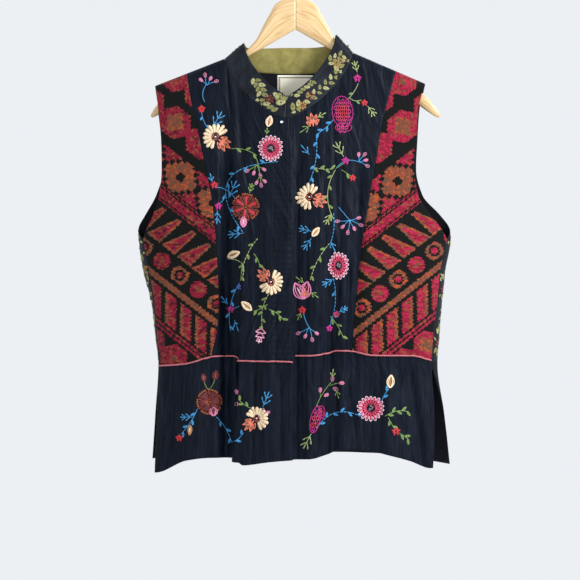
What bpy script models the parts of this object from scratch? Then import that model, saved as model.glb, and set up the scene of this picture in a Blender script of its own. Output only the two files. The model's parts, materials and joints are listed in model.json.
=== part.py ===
"""A sleeveless embroidered vest with a stand collar, hung on a wooden clothes hanger.

Metres, +Z up. The front of the vest faces -Y. The origin is the top of the inside of the
hanger's hook, where it bears on a rail.

The cloth is one loop round the body at each height, wide from side to side and shallow from
front to back. An angle of 0 is the left side point of the loop, 90 degrees the middle of the
front, 180 the right side point, and negative angles run round the back. Every panel is a
stretch of that loop between two seams, given a wall.
"""

import math
from collections import namedtuple

import bmesh
import bpy
from mathutils import Vector

# Cloth
CLOTH = 0.0016
FACING = 0.0010
LABEL_THICKNESS = 0.0006
SEAM_GAP = 0.0003
PIPING_RADIUS = 0.0010

# The loop of cloth: half widths to the left and right, and how deep it bulges to the front
# and to the back, at heights measured down from the hook.
Section = namedtuple("Section", "z left right front back")
SECTIONS = (
    Section(-0.120, 0.232, 0.212, 0.0110, 0.0100),
    Section(-0.160, 0.235, 0.214, 0.0135, 0.0130),
    Section(-0.200, 0.237, 0.217, 0.0210, 0.0200),
    Section(-0.225, 0.240, 0.221, 0.0310, 0.0230),
    Section(-0.253, 0.243, 0.2245, 0.0420, 0.0260),
    Section(-0.284, 0.244, 0.227, 0.0470, 0.0280),
    Section(-0.330, 0.2455, 0.229, 0.0530, 0.0300),
    Section(-0.368, 0.242, 0.230, 0.0560, 0.0310),
    Section(-0.399, 0.241, 0.2335, 0.0580, 0.0320),
    Section(-0.435, 0.239, 0.2365, 0.0600, 0.0330),
    Section(-0.484, 0.232, 0.2285, 0.0600, 0.0340),
    Section(-0.531, 0.220, 0.2235, 0.0580, 0.0340),
    Section(-0.580, 0.214, 0.2195, 0.0560, 0.0330),
    Section(-0.626, 0.209, 0.2165, 0.0540, 0.0320),
    Section(-0.700, 0.2135, 0.2265, 0.0570, 0.0360),
    Section(-0.800, 0.2200, 0.2380, 0.0620, 0.0420),
)

# Where the panels end at the sides, in degrees round the loop from its side point: the
# armholes, the side seams below them, and the open vents of the skirt. A back edge below
# zero lies round on the front.
Edge = namedtuple("Edge", "z front_left front_right back_left back_right")
UNDERARM = -0.436
ARMHOLES = (
    Edge(-0.200, 25.0, 25.0, 25.0, 24.0),
    Edge(-0.238, 30.0, 33.0, 30.0, 31.5),
    Edge(-0.284, 33.0, 36.0, 33.0, 34.5),
    Edge(-0.330, 34.0, 38.0, 34.0, 36.0),
    Edge(-0.368, 31.0, 36.0, 28.0, 32.0),
    Edge(-0.399, 26.0, 28.5, 17.0, 18.0),
    Edge(-0.418, 20.0, 20.5, 4.0, 4.0),
    Edge(UNDERARM, 14.0, 13.0, -14.0, -13.0),
)
SIDE_SEAMS = (
    Edge(UNDERARM, 14.0, 13.0, -14.0, -13.0),
    Edge(-0.484, 16.0, 15.5, -16.0, -15.5),
    Edge(-0.531, 12.0, 15.0, -12.0, -15.0),
    Edge(-0.580, 10.0, 17.0, -10.0, -17.0),
    Edge(-0.630, 6.0, 16.5, -6.0, -16.5),
)
VENTS = (
    Edge(-0.630, 6.0, 16.5, -6.0, -16.5),
    Edge(-0.650, 6.5, 17.5, -4.5, -12.0),
    Edge(-0.700, 9.0, 21.0, -2.0, -3.0),
    Edge(-0.800, 12.5, 29.0, 0.0, 4.0),
)

# Seams between the middle and side panels of the front and of the back: x at each height.
Seam = namedtuple("Seam", "z front_left front_right back_left back_right")
SEAMS = (
    Seam(-0.182, -0.166, 0.152, -0.160, 0.146),
    Seam(-0.215, -0.161, 0.143, -0.152, 0.138),
    Seam(-0.268, -0.149, 0.130, -0.140, 0.126),
    Seam(-0.322, -0.138, 0.121, -0.130, 0.117),
    Seam(-0.383, -0.126, 0.110, -0.120, 0.108),
    Seam(-0.450, -0.120, 0.100, -0.112, 0.102),
    Seam(-0.530, -0.117, 0.0915, -0.108, 0.099),
    Seam(-0.570, -0.119, 0.088, -0.107, 0.098),
    Seam(-0.612, -0.127, 0.085, -0.107, 0.098),
    Seam(-0.800, -0.140, 0.090, -0.107, 0.098),
)

# The waist seam and the hem: height at each x, the way the photographed cloth hangs.
Level = namedtuple("Level", "x waist hem")
LEFT_LEVELS = (
    Level(-0.222, -0.6296, -0.7925),
    Level(-0.209, -0.6290, -0.7910),
    Level(-0.165, -0.6252, -0.7720),
    Level(-0.138, -0.6173, -0.7685),
    Level(-0.123, -0.6140, -0.7680),
    Level(-0.094, -0.6135, -0.7682),
    Level(-0.080, -0.6204, -0.7785),
    Level(-0.039, -0.6216, -0.7734),
    Level(0.000, -0.6227, -0.7703),
)
RIGHT_LEVELS = (
    Level(-0.040, -0.6128, -0.7703),
    Level(0.020, -0.6128, -0.7690),
    Level(0.048, -0.6090, -0.7620),
    Level(0.066, -0.6050, -0.7550),
    Level(0.086, -0.6062, -0.7545),
    Level(0.116, -0.6122, -0.7580),
    Level(0.150, -0.6128, -0.7660),
    Level(0.175, -0.6128, -0.7734),
    Level(0.205, -0.6200, -0.7840),
    Level(0.240, -0.6260, -0.7840),
)
BACK_LEVELS = (
    Level(-0.222, -0.6290, -0.7710),
    Level(-0.120, -0.6200, -0.7640),
    Level(0.000, -0.6170, -0.7620),
    Level(0.120, -0.6190, -0.7640),
    Level(0.240, -0.6250, -0.7800),
)

# Shoulders and neck
SHOULDER_LEFT = ((-0.108, -0.1600), (-0.216, -0.2025))
SHOULDER_RIGHT = ((0.088, -0.1508), (0.198, -0.1985))
SHOULDER_ROUND = 0.013
NECK_FRONT = (-0.016, -0.2530)
NECK_BACK_Z = -0.1800
NECK_FRONT_SHAPE = 1.45
NECK_BACK_SHAPE = 2.3
NECK_STRAIGHT_FROM = 0.957
COLLAR_HEIGHT = 0.0380
COLLAR_MIDDLE_X = -0.004
COLLAR_DRAWN_IN = (0.28, 0.20)
COLLAR_OFF_SEAM = 0.0004
COLLAR_END_GAP = 0.0006
COLLAR_CORNER = 0.0070

# The front opening: the left edge laps over the right front.
LAP_EDGE_TOP_X = -0.0100
LAP_EDGE_X = -0.0050
LAP_EDGE_FULL_Z = -0.330
UNDERLAP_X = -0.0320
LAP_LIFT = 0.0026
LAP_LIFT_FROM_X = -0.064
LAP_LIFT_WIDTH = 0.022

# Soft folds: a valley is above zero, a ridge below. Each runs from its top to its foot.
Fold = namedtuple("Fold", "top_x top_z foot_x foot_z width depth")
FRONT_FOLDS = (
    Fold(-0.108, -0.215, -0.1085, -0.810, 0.0090, 0.0070),
    Fold(-0.091, -0.170, -0.080, -0.330, 0.0065, 0.0045),
    Fold(-0.060, -0.300, -0.058, -0.600, 0.0090, 0.0022),
    Fold(-0.040, -0.420, -0.036, -0.790, 0.0080, -0.0022),
    Fold(0.006, -0.250, 0.004, -0.810, 0.0070, 0.0040),
    Fold(0.030, -0.330, 0.026, -0.810, 0.0090, -0.0030),
    Fold(0.055, -0.420, 0.048, -0.810, 0.0100, 0.0050),
    Fold(0.078, -0.470, 0.071, -0.800, 0.0100, -0.0060),
    Fold(0.098, -0.300, 0.088, -0.640, 0.0080, 0.0060),
    Fold(0.116, -0.620, 0.110, -0.810, 0.0090, 0.0050),
    Fold(0.140, -0.610, 0.146, -0.810, 0.0110, -0.0050),
    Fold(0.168, -0.610, 0.176, -0.810, 0.0080, 0.0050),
    Fold(-0.152, -0.620, -0.160, -0.810, 0.0130, -0.0050),
    Fold(-0.186, -0.620, -0.190, -0.810, 0.0090, 0.0050),
    Fold(-0.197, -0.380, -0.196, -0.600, 0.0070, -0.0030),
)
BACK_FOLDS = (
    Fold(-0.130, -0.400, -0.140, -0.810, 0.0200, 0.0060),
    Fold(-0.060, -0.460, -0.064, -0.810, 0.0150, -0.0060),
    Fold(0.010, -0.430, 0.012, -0.810, 0.0170, 0.0050),
    Fold(0.080, -0.470, 0.084, -0.810, 0.0150, -0.0060),
    Fold(0.150, -0.400, 0.158, -0.810, 0.0200, 0.0060),
)
FOLD_FADE = 0.060

# The one fold that doubles over on itself, left of the opening. The cloth turns back by up
# to half a turn and then forward again, over this length of its own.
Guide = namedtuple("Guide", "z x")
PLEAT_LINE = (
    Guide(-0.160, -0.1090),
    Guide(-0.300, -0.0985),
    Guide(-0.450, -0.0885),
    Guide(-0.560, -0.0845),
    Guide(-0.613, -0.0835),
    Guide(-0.700, -0.0880),
    Guide(-0.800, -0.0965),
)
PLEAT_WIDTH = 0.0085
PLEAT_CLOTH = 0.0330
PLEAT_START_Z = -0.425
PLEAT_FULL_Z = -0.600
PLEAT_PARTS = (0.06, 0.40, 0.20, 0.28, 0.06)
PLEAT_RECESS_WIDTH = 0.060

# Label inside the back neck, and the collar's button
LABEL = (-0.028, 0.027, -0.1835, -0.2185)
BUTTON_AT = (-0.0210, -0.2590)
BUTTON_RADIUS = 0.0023
BUTTON_HEIGHT = 0.0014

# Hanger: each row is a cut across one arm at a distance from the middle.
Cut = namedtuple("Cut", "x top bottom")
HANGER_HALF_THICKNESS = 0.0056
HANGER_SQUARENESS = 2.6
HANGER_JOINT_GAP = 0.0003
HANGER_ARM = (
    Cut(0.0000, -0.0650, -0.1150),
    Cut(0.0150, -0.0675, -0.1235),
    Cut(0.0300, -0.0755, -0.1321),
    Cut(0.0400, -0.0920, -0.1378),
    Cut(0.0500, -0.1103, -0.1435),
    Cut(0.0600, -0.1297, -0.1492),
    Cut(0.0700, -0.1412, -0.1550),
    Cut(0.0790, -0.1490, -0.1608),
    Cut(0.0880, -0.1552, -0.1668),
    Cut(0.1000, -0.1606, -0.1737),
    Cut(0.1120, -0.1642, -0.1805),
    Cut(0.1250, -0.1683, -0.1888),
    Cut(0.1400, -0.1750, -0.1980),
    Cut(0.1550, -0.1834, -0.2072),
    Cut(0.1700, -0.1935, -0.2172),
    Cut(0.1900, -0.2090, -0.2316),
    Cut(0.2050, -0.2225, -0.2424),
    Cut(0.2140, -0.2330, -0.2478),
    Cut(0.2190, -0.2405, -0.2496),
    Cut(0.2215, -0.2455, -0.2480),
)

# Hook: its wire's middle line starts on the crown and ends at the open side.
HOOK_WIRE_RADIUS = 0.0019
HOOK_BEND_RADIUS = 0.0190
HOOK_BEND_STARTS = -62.0
HOOK_BEND_ENDS = 200.0
HOOK_STEM_TOP_Z = -0.0440


def ease(q):
    """A smooth step from 0 to 1."""
    q = min(1.0, max(0.0, q))
    return q * q * (3 - 2 * q)


def mix(a, b, q):
    return a + (b - a) * q


def read(rows, column, at, key="z"):
    """A table's column as a smooth curve through its rows, level past both ends."""
    places = [getattr(row, key) for row in rows]
    values = [getattr(row, column) for row in rows]
    if places[0] > places[-1]:
        places.reverse()
        values.reverse()
    if at <= places[0]:
        return values[0]
    if at >= places[-1]:
        return values[-1]
    i = max(k for k in range(len(places) - 1) if places[k] <= at)
    steps = [b - a for a, b in zip(places, places[1:])]
    slopes = [(b - a) / step for a, b, step in zip(values, values[1:], steps)]

    def tangent(k):
        """The slope at row k, level at a turning point so the curve never overshoots."""
        if k == 0 or k == len(places) - 1:
            return slopes[min(k, len(slopes) - 1)]
        before, after = slopes[k - 1], slopes[k]
        return 0.0 if before * after <= 0 else 2 * before * after / (before + after)

    q = (at - places[i]) / steps[i]
    start, end = tangent(i) * steps[i], tangent(i + 1) * steps[i]
    return (
        (2 * q**3 - 3 * q**2 + 1) * values[i]
        + (q**3 - 2 * q**2 + q) * start
        + (3 * q**2 - 2 * q**3) * values[i + 1]
        + (q**3 - q**2) * end
    )


def along(line, x):
    """The height of a straight line through two points, run on past both."""
    (x0, z0), (x1, z1) = line
    return mix(z0, z1, (x - x0) / (x1 - x0))


def shoulder_z(x):
    """The shoulder seams, run on towards the middle of the neck."""
    return min(along(SHOULDER_LEFT, x), along(SHOULDER_RIGHT, x))


def rounded(share, shape):
    """How far down the neckline has come: rounded, with a short straight run at its top."""
    share = min(1.0, max(0.0, share))
    bend = (1 - min(share, NECK_STRAIGHT_FROM) ** shape) ** (1 / shape)
    return bend * min(1.0, (1 - share) / (1 - NECK_STRAIGHT_FROM))


def shoulder_point(left, room=0.0):
    """Where a shoulder seam meets the neckline, moved out along the seam by some room."""
    line = SHOULDER_LEFT if left else SHOULDER_RIGHT
    x = line[0][0] + (-room if left else room)
    return x, along(line, x)


def neck_z(x, front, room=0.0):
    """The neckline, from each shoulder point down to the middle of the front or back."""
    middle_x, middle_z = NECK_FRONT if front else (0.0, NECK_BACK_Z)
    point_x, point_z = shoulder_point(x < middle_x, room)
    share = (x - middle_x) / (point_x - middle_x)
    shape = NECK_FRONT_SHAPE if front else NECK_BACK_SHAPE
    return point_z - (point_z - middle_z + room) * rounded(share, shape)


def top_z(x, front):
    """The upper edge of the body: a shoulder seam, or the neckline between the shoulders."""
    if shoulder_point(True, COLLAR_OFF_SEAM)[0] < x < shoulder_point(False, COLLAR_OFF_SEAM)[0]:
        return neck_z(x, front, COLLAR_OFF_SEAM)
    return shoulder_z(x)


def shoulder_closing(x, z):
    """0 where front and back meet on the shoulder, rising round the arm of the hanger to 1."""
    share = min(1.0, max(0.0, (shoulder_z(x) - z) / SHOULDER_ROUND))
    return math.sqrt(1 - (1 - share) ** 2)


def folds_depth(folds, x, z):
    """How far soft folds push the cloth in at a place."""
    total = 0.0
    for fold in folds:
        down = (fold.top_z - z) / (fold.top_z - fold.foot_z)
        middle = mix(fold.top_x, fold.foot_x, min(1.0, max(0.0, down)))
        shown = ease((fold.top_z - z) / FOLD_FADE) * ease((z - fold.foot_z) / FOLD_FADE + 0.4)
        total += fold.depth * shown * math.exp(-(((x - middle) / fold.width) ** 2))
    return total


def pleat_path(share, turn, length):
    """Across and forward along the doubled fold, for a share of its cloth."""
    lead, rise, run, fall, _ = (part * length for part in PLEAT_PARTS)
    left = share * length
    if left <= lead:
        return left, 0.0
    left -= lead
    if left <= rise:
        angle = turn * left / rise
        radius = rise / turn
        return lead + radius * math.sin(angle), radius * (1 - math.cos(angle))
    across = lead + rise / turn * math.sin(turn)
    forward = rise / turn * (1 - math.cos(turn))
    left -= rise
    if left <= run:
        return across + left * math.cos(turn), forward + left * math.sin(turn)
    across += run * math.cos(turn)
    forward += run * math.sin(turn)
    left -= run
    radius = fall / turn
    if left <= fall:
        angle = turn * (1 - left / fall)
        across += radius * (math.sin(turn) - math.sin(angle))
        return across, forward + radius * (math.cos(angle) - math.cos(turn))
    across += radius * math.sin(turn)
    return across + left - fall, forward + radius * (1 - math.cos(turn))


def pleat_shift(x, z):
    """How far the doubled fold moves a point of the front sideways and back."""
    amount = ease((PLEAT_START_Z - z) / (PLEAT_START_Z - PLEAT_FULL_Z))
    if amount < 1e-4:
        return 0.0, 0.0
    turn = math.pi * amount
    length = mix(PLEAT_WIDTH, PLEAT_CLOTH, amount)
    end_across, end_forward = pleat_path(1.0, turn, length)
    share = (x - read(PLEAT_LINE, "x", z)) / PLEAT_WIDTH
    if share >= 1:
        return 0.0, 0.0
    if share <= 0:
        fade = math.exp(-((share * PLEAT_WIDTH / PLEAT_RECESS_WIDTH) ** 2))
        return 0.0, end_forward * fade
    across, forward = pleat_path(share, turn, length)
    spare = PLEAT_WIDTH - end_across
    first, last = PLEAT_PARTS[0], PLEAT_PARTS[-1]
    flat = (min(share, first) + max(0.0, share - 1 + last)) / (first + last)
    across += spare * (flat if spare > 0 else share)
    return across - share * PLEAT_WIDTH, end_forward - forward


def half_width(side_left, z):
    return read(SECTIONS, "left" if side_left else "right", z)


def loop_angle(x, z, front=True):
    """The angle round the loop at which it passes x."""
    angle = math.acos(min(1.0, max(-1.0, -x / half_width(x < 0, z))))
    return angle if front else -angle


def loop_x(angle, z):
    return -half_width(math.cos(angle) > 0, z) * math.cos(angle)


def body(angle, z, lift=0.0):
    """A point on the middle of the cloth, with the front raised by lift."""
    x = loop_x(angle, z)
    out = math.sin(angle)
    closing = shoulder_closing(x, z)
    deep = read(SECTIONS, "front" if out > 0 else "back", z)
    y = -deep * out * closing
    seam = SEAM_GAP / 2 * (1 - closing)
    if out > 0:
        across, back = pleat_shift(x, z)
        fold = folds_depth(FRONT_FOLDS, x, z)
        y += (fold * closing + back - lift) * min(1.0, out * 2.0) - seam
        x += across
    else:
        y -= folds_depth(BACK_FOLDS, x, z) * closing * min(1.0, -out * 2.0) - seam
    return Vector((x, y, z))


def lap_lift(angle, z):
    """The left edge of the opening is raised, to lie over the right front."""
    return LAP_LIFT * ease((loop_x(angle, z) - LAP_LIFT_FROM_X) / LAP_LIFT_WIDTH)


def outward(angle, z, lift=None):
    """The direction out of the cloth at a point of the loop."""
    lift = lift or (lambda a, h: 0.0)
    x = loop_x(angle, z)
    below = shoulder_z(x) - z
    if below < 0.00008:
        line = SHOULDER_LEFT if x < 0 else SHOULDER_RIGHT
        slope = (line[1][1] - line[0][1]) / (line[1][0] - line[0][0])
        return Vector((-slope, 0, 1)).normalized()
    turn = 0.0004
    drop = min(0.0003, below * 0.4)
    across = body(angle + turn, z, lift(angle + turn, z))
    across -= body(angle - turn, z, lift(angle - turn, z))
    down = body(angle, z - drop, lift(angle, z - drop))
    down -= body(angle, z + drop, lift(angle, z + drop))
    return down.cross(across).normalized()


def wall(name, rows, thickness, colour, roughness=0.75, metallic=0.0):
    """A solid wall from rows of (point, outward direction), half its thickness to each side."""
    mesh = bmesh.new()
    half = thickness / 2
    outer = [[mesh.verts.new(p + n * half) for p, n in row] for row in rows]
    inner = [[mesh.verts.new(p - n * half) for p, n in row] for row in rows]
    last_row = len(rows) - 1
    last_column = len(rows[0]) - 1
    for i in range(last_row):
        for j in range(last_column):
            mesh.faces.new((outer[i][j], outer[i + 1][j], outer[i + 1][j + 1], outer[i][j + 1]))
            mesh.faces.new((inner[i][j], inner[i][j + 1], inner[i + 1][j + 1], inner[i + 1][j]))
        for j in (0, last_column):
            mesh.faces.new((outer[i][j], inner[i][j], inner[i + 1][j], outer[i + 1][j]))
    for j in range(last_column):
        for i in (0, last_row):
            mesh.faces.new((outer[i][j], outer[i][j + 1], inner[i][j + 1], inner[i][j]))
    return finish(name, mesh, colour, roughness, metallic)


def finish(name, mesh, colour, roughness, metallic=0.0):
    """Makes the named object from a bmesh, with its own material."""
    bmesh.ops.recalc_face_normals(mesh, faces=mesh.faces)
    data = bpy.data.meshes.new(name)
    mesh.to_mesh(data)
    mesh.free()
    obj = bpy.data.objects.new(name, data)
    bpy.context.scene.collection.objects.link(obj)
    paint(obj, colour, roughness, metallic)
    return obj


def paint(obj, colour, roughness, metallic=0.0):
    material = bpy.data.materials.new(obj.name + "_finish")
    material.use_nodes = True
    shader = material.node_tree.nodes["Principled BSDF"]
    shader.inputs["Base Color"].default_value = (*colour, 1.0)
    shader.inputs["Roughness"].default_value = roughness
    shader.inputs["Metallic"].default_value = metallic
    obj.data.materials.append(material)


SILK = (0.022, 0.027, 0.040)
TAPESTRY = (0.260, 0.032, 0.036)
BROCADE = (0.060, 0.062, 0.030)
OLIVE = (0.190, 0.170, 0.035)
SALMON = (0.640, 0.160, 0.140)
LABEL_CREAM = (0.780, 0.700, 0.500)
WOOD = (0.740, 0.480, 0.220)
STEEL = (0.720, 0.720, 0.740)


def inset(line, by):
    """An edge line moved along the loop by a distance, to leave the gap at a seam."""

    def moved(z):
        angle = line(z)
        step = 0.001
        speed = (body(angle + step, z) - body(angle - step, z)).length / (2 * step)
        return angle + by / max(speed, 0.02)

    return moved


def turned(column, right=False, back=False):
    """The edge line the side tables give, as an angle round the loop."""

    def line(z):
        rows = ARMHOLES if z > UNDERARM else SIDE_SEAMS if z > VENTS[0].z else VENTS
        angle = math.radians(read(rows, column, z))
        angle = math.pi - angle if right else angle
        return -angle if back else angle

    return line


def seam_line(column, front=True):
    return lambda z: loop_angle(read(SEAMS, column, z), z, front)


def straight(x):
    return lambda z: loop_angle(x, z)


def leaning(x, foot_x, front=True):
    """A line from a shoulder point down to a place on the waist."""
    top_z_here, waist_z = -0.16, -0.62

    def line(z):
        share = min(1.0, max(0.0, (top_z_here - z) / (top_z_here - waist_z)))
        return loop_angle(mix(x, foot_x, share), z, front)

    return line


def lap_edge(z):
    share = ease((NECK_FRONT[1] - z) / (NECK_FRONT[1] - LAP_EDGE_FULL_Z))
    return loop_angle(mix(LAP_EDGE_TOP_X, LAP_EDGE_X, share), z)


def pleat_edge(extra):
    return lambda z: loop_angle(read(PLEAT_LINE, "x", z) + extra, z)


def even(q):
    return q


def close_at_start(q):
    return q**1.2


def close_at_end(q):
    return 1 - (1 - q) ** 2.2


def close_at_both(q):
    return (2 * q) ** 2.4 / 2 if q < 0.5 else 1 - (2 - 2 * q) ** 2.4 / 2


def columns(*parts):
    """Edge lines between guide lines: guide, count, spacing, guide, count, spacing, guide."""
    guides, counts, spacings = parts[0::3], parts[1::3], parts[2::3]
    lines = []
    for first, last, count, spacing in zip(guides, guides[1:], counts, spacings):
        for k in range(count):
            share = spacing(k / count)
            lines.append(lambda z, a=first, b=last, q=share: mix(a(z), b(z), q))
    return lines + [guides[-1]]


def where(line, level, low, high):
    """The height at which a line down the cloth crosses a level, by halving."""
    for _ in range(40):
        middle = (low + high) / 2
        if middle < level(loop_x(line(middle), middle)):
            low = middle
        else:
            high = middle
    return (low + high) / 2


SHOULDER_ROWS = (0.0, 0.0007, 0.0030, 0.0075, 0.0140)
ROWS_ABOVE_UNDERARM = 8
ROWS_BELOW_UNDERARM = 6
SKIRT_ROWS = 6


def bodice_rows(lines, front, waist, lift=None):
    """Points and directions of a panel that hangs from the shoulder or neck to the waist."""
    lift = lift or (lambda a, h: 0.0)
    made = [[] for _ in range(len(SHOULDER_ROWS) + ROWS_ABOVE_UNDERARM + ROWS_BELOW_UNDERARM)]
    for line in lines:
        top = where(line, lambda x: top_z(x, front), -0.30, -0.10)
        bottom = where(line, waist, -0.66, -0.58) + SEAM_GAP / 2
        heights = [top - down for down in SHOULDER_ROWS]
        for start, end, count, power in (
            (heights[-1], UNDERARM, ROWS_ABOVE_UNDERARM, 1.35),
            (UNDERARM, bottom, ROWS_BELOW_UNDERARM, 1.0),
        ):
            shares = [1 - (1 - (k + 1) / count) ** power for k in range(count)]
            heights += [mix(start, end, share) for share in shares]
        for row, z in zip(made, heights):
            angle = line(z)
            row.append((body(angle, z, lift(angle, z)), outward(angle, z, lift)))
    return made


def skirt_rows(lines, waist, hem, lift=None):
    """Points and directions of a panel that hangs from the waist seam to the hem."""
    lift = lift or (lambda a, h: 0.0)
    made = [[] for _ in range(SKIRT_ROWS + 1)]
    for line in lines:
        top = where(line, waist, -0.66, -0.58) - SEAM_GAP / 2
        bottom = where(line, hem, -0.82, -0.72)
        for k, row in enumerate(made):
            z = mix(top, bottom, k / SKIRT_ROWS)
            angle = line(z)
            row.append((body(angle, z, lift(angle, z)), outward(angle, z, lift)))
    return made


def level(rows, column):
    return lambda x: read(rows, column, x, "x")


def left_side_lines(first, last):
    return columns(first, 8, even, last)


def left_front_lines(first):
    """Columns of the left front, from a first line over the doubled fold to the opening."""
    pleat = (pleat_edge(0.0), pleat_edge(PLEAT_WIDTH))
    return columns(first, 4, even, pleat[0], 14, close_at_start, pleat[1], 9, even, lap_edge)


def right_front_lines(last):
    """Columns of the right front, from its edge under the lap past the shoulder point."""
    neck_end = leaning(shoulder_point(False, COLLAR_OFF_SEAM)[0], 0.060)
    return columns(straight(UNDERLAP_X), 17, close_at_end, neck_end, 5, even, last)


def right_side_lines(first, last):
    return columns(first, 8, even, last)


def back_lines(first, last):
    """Columns of the middle back, close together at both ends of the neckline."""
    left_end = leaning(shoulder_point(True, COLLAR_OFF_SEAM)[0], -0.080, front=False)
    right_end = leaning(shoulder_point(False, COLLAR_OFF_SEAM)[0], 0.070, front=False)
    return columns(first, 3, even, left_end, 20, close_at_both, right_end, 3, even, last)


HALF_GAP = SEAM_GAP / 2
FRONT_LEFT_SIDE = turned("front_left")
FRONT_RIGHT_SIDE = turned("front_right", right=True)
BACK_LEFT_SIDE = turned("back_left", back=True)
BACK_RIGHT_SIDE = turned("back_right", right=True, back=True)
FRONT_LEFT_SEAM = seam_line("front_left")
FRONT_RIGHT_SEAM = seam_line("front_right")
BACK_LEFT_SEAM = seam_line("back_left", front=False)
BACK_RIGHT_SEAM = seam_line("back_right", front=False)
LEFT_WAIST = level(LEFT_LEVELS, "waist")
RIGHT_WAIST = level(RIGHT_LEVELS, "waist")


def back_waist(x):
    """The back's waist seam, drawn to the front's at the two sides."""
    front = LEFT_WAIST(x) if x < 0 else RIGHT_WAIST(x)
    return mix(read(BACK_LEVELS, "waist", x, "x"), front, ease((abs(x) - 0.10) / 0.09))


def across_left(gap=0.0):
    """All the left front's columns, from the side to the opening."""
    side = left_side_lines(inset(FRONT_LEFT_SIDE, gap), FRONT_LEFT_SEAM)
    return side[:-1] + left_front_lines(FRONT_LEFT_SEAM)


def across_right(gap=0.0):
    """All the right front's columns, from under the lap to the side."""
    side = right_side_lines(FRONT_RIGHT_SEAM, inset(FRONT_RIGHT_SIDE, -gap))
    return right_front_lines(FRONT_RIGHT_SEAM)[:-1] + side


def make_front():
    """The two middle panels, the two woven side panels, and the front skirt."""
    lines = left_front_lines(inset(FRONT_LEFT_SEAM, HALF_GAP))
    wall("front_middle_left", bodice_rows(lines, True, LEFT_WAIST, lap_lift), CLOTH, SILK)
    lines = right_front_lines(inset(FRONT_RIGHT_SEAM, -HALF_GAP))
    wall("front_middle_right", bodice_rows(lines, True, RIGHT_WAIST), CLOTH, SILK)
    lines = left_side_lines(inset(FRONT_LEFT_SIDE, HALF_GAP), inset(FRONT_LEFT_SEAM, -HALF_GAP))
    wall("front_side_left", bodice_rows(lines, True, LEFT_WAIST), CLOTH, TAPESTRY)
    lines = right_side_lines(
        inset(FRONT_RIGHT_SEAM, HALF_GAP), inset(FRONT_RIGHT_SIDE, -HALF_GAP))
    wall("front_side_right", bodice_rows(lines, True, RIGHT_WAIST), CLOTH, TAPESTRY)
    rows = skirt_rows(across_left(HALF_GAP), LEFT_WAIST, level(LEFT_LEVELS, "hem"), lap_lift)
    wall("skirt_front_left", rows, CLOTH, SILK)
    rows = skirt_rows(across_right(HALF_GAP), RIGHT_WAIST, level(RIGHT_LEVELS, "hem"))
    wall("skirt_front_right", rows, CLOTH, SILK)


def make_back():
    """The middle panel, the two brocade side panels that wrap to the side seams, the skirt."""
    left_edge = inset(BACK_LEFT_SIDE, -HALF_GAP)
    right_edge = inset(BACK_RIGHT_SIDE, HALF_GAP)
    lines = back_lines(inset(BACK_LEFT_SEAM, -HALF_GAP), inset(BACK_RIGHT_SEAM, HALF_GAP))
    wall("back_middle", bodice_rows(lines, False, back_waist), CLOTH, SILK)
    lines = columns(left_edge, 9, even, inset(BACK_LEFT_SEAM, HALF_GAP))
    wall("back_side_left", bodice_rows(lines, False, back_waist), CLOTH, BROCADE)
    lines = columns(inset(BACK_RIGHT_SEAM, -HALF_GAP), 9, even, right_edge)
    wall("back_side_right", bodice_rows(lines, False, back_waist), CLOTH, BROCADE)
    lines = columns(left_edge, 9, even, BACK_LEFT_SEAM)[:-1]
    lines += back_lines(BACK_LEFT_SEAM, BACK_RIGHT_SEAM)[:-1]
    lines += columns(BACK_RIGHT_SEAM, 9, even, right_edge)
    wall("skirt_back", skirt_rows(lines, back_waist, level(BACK_LEVELS, "hem")), CLOTH, SILK)


def neck_point(x, front):
    """A point of the seam between body and collar."""
    z = neck_z(x, front)
    lift = lap_lift(loop_angle(x, z), z) if front and x <= NECK_FRONT[0] else 0.0
    return body(loop_angle(x, z, front), z, lift)


def neck_places(lines, front):
    """Where the columns of a panel meet the collar, as x on the seam between them."""
    middle = NECK_FRONT[0] if front else 0.0
    places = []
    for line in lines:
        z = where(line, lambda x: top_z(x, front), -0.30, -0.10)
        x = loop_x(line(z), z)
        roomy, seam = (shoulder_point(x < middle, room)[0] for room in (COLLAR_OFF_SEAM, 0.0))
        share = (x - middle) / (roomy - middle)
        if share < 1.0001:
            places.append(mix(middle, seam, share))
    return places


def neck_seam():
    """Points round the neckline, from the opening's left edge round the back to its right."""
    middle = NECK_FRONT[0]
    left = [x for x in neck_places(left_front_lines(FRONT_LEFT_SEAM), True)
            if x < middle - 0.003]
    right = [x for x in neck_places(right_front_lines(FRONT_RIGHT_SEAM), True)
             if x > middle + 0.003]
    back = neck_places(back_lines(BACK_LEFT_SEAM, BACK_RIGHT_SEAM), False)
    points = [neck_point(middle, True)]
    points += [neck_point(x, True) for x in reversed(left)]
    points += [neck_point(x, False) for x in back[1:-1]]
    points += [neck_point(x, True) for x in reversed(right)]
    last = neck_z(middle, True)
    return points + [body(loop_angle(middle, last), last)]


def collar_rows(out, start, rows):
    """The stand collar: the neckline drawn in towards the neck as it rises."""
    seam = neck_seam()
    far = len(seam) - 1
    made = [[] for _ in range(rows + 1)]
    for j, p in enumerate(seam):
        rise = Vector(((COLLAR_MIDDLE_X - p.x) * COLLAR_DRAWN_IN[0], -p.y * COLLAR_DRAWN_IN[1], 0))
        rise.z = math.sqrt(COLLAR_HEIGHT**2 - rise.length_squared)
        ahead = (seam[min(j + 1, far)] - seam[max(j - 1, 0)]).normalized()
        facing = rise.cross(ahead).normalized()
        from_end = min((p - seam[0]).length, (p - seam[far]).length)
        corner = COLLAR_CORNER * max(0.0, 1 - from_end / (COLLAR_CORNER * 2)) ** 2
        end = {0: COLLAR_END_GAP / 2, far: -COLLAR_END_GAP / 2}.get(j, 0.0)
        for k, row in enumerate(made):
            up = mix(start, COLLAR_HEIGHT - corner, k / rows)
            row.append((p + rise.normalized() * up + ahead * end + facing * out, facing))
    return made


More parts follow.
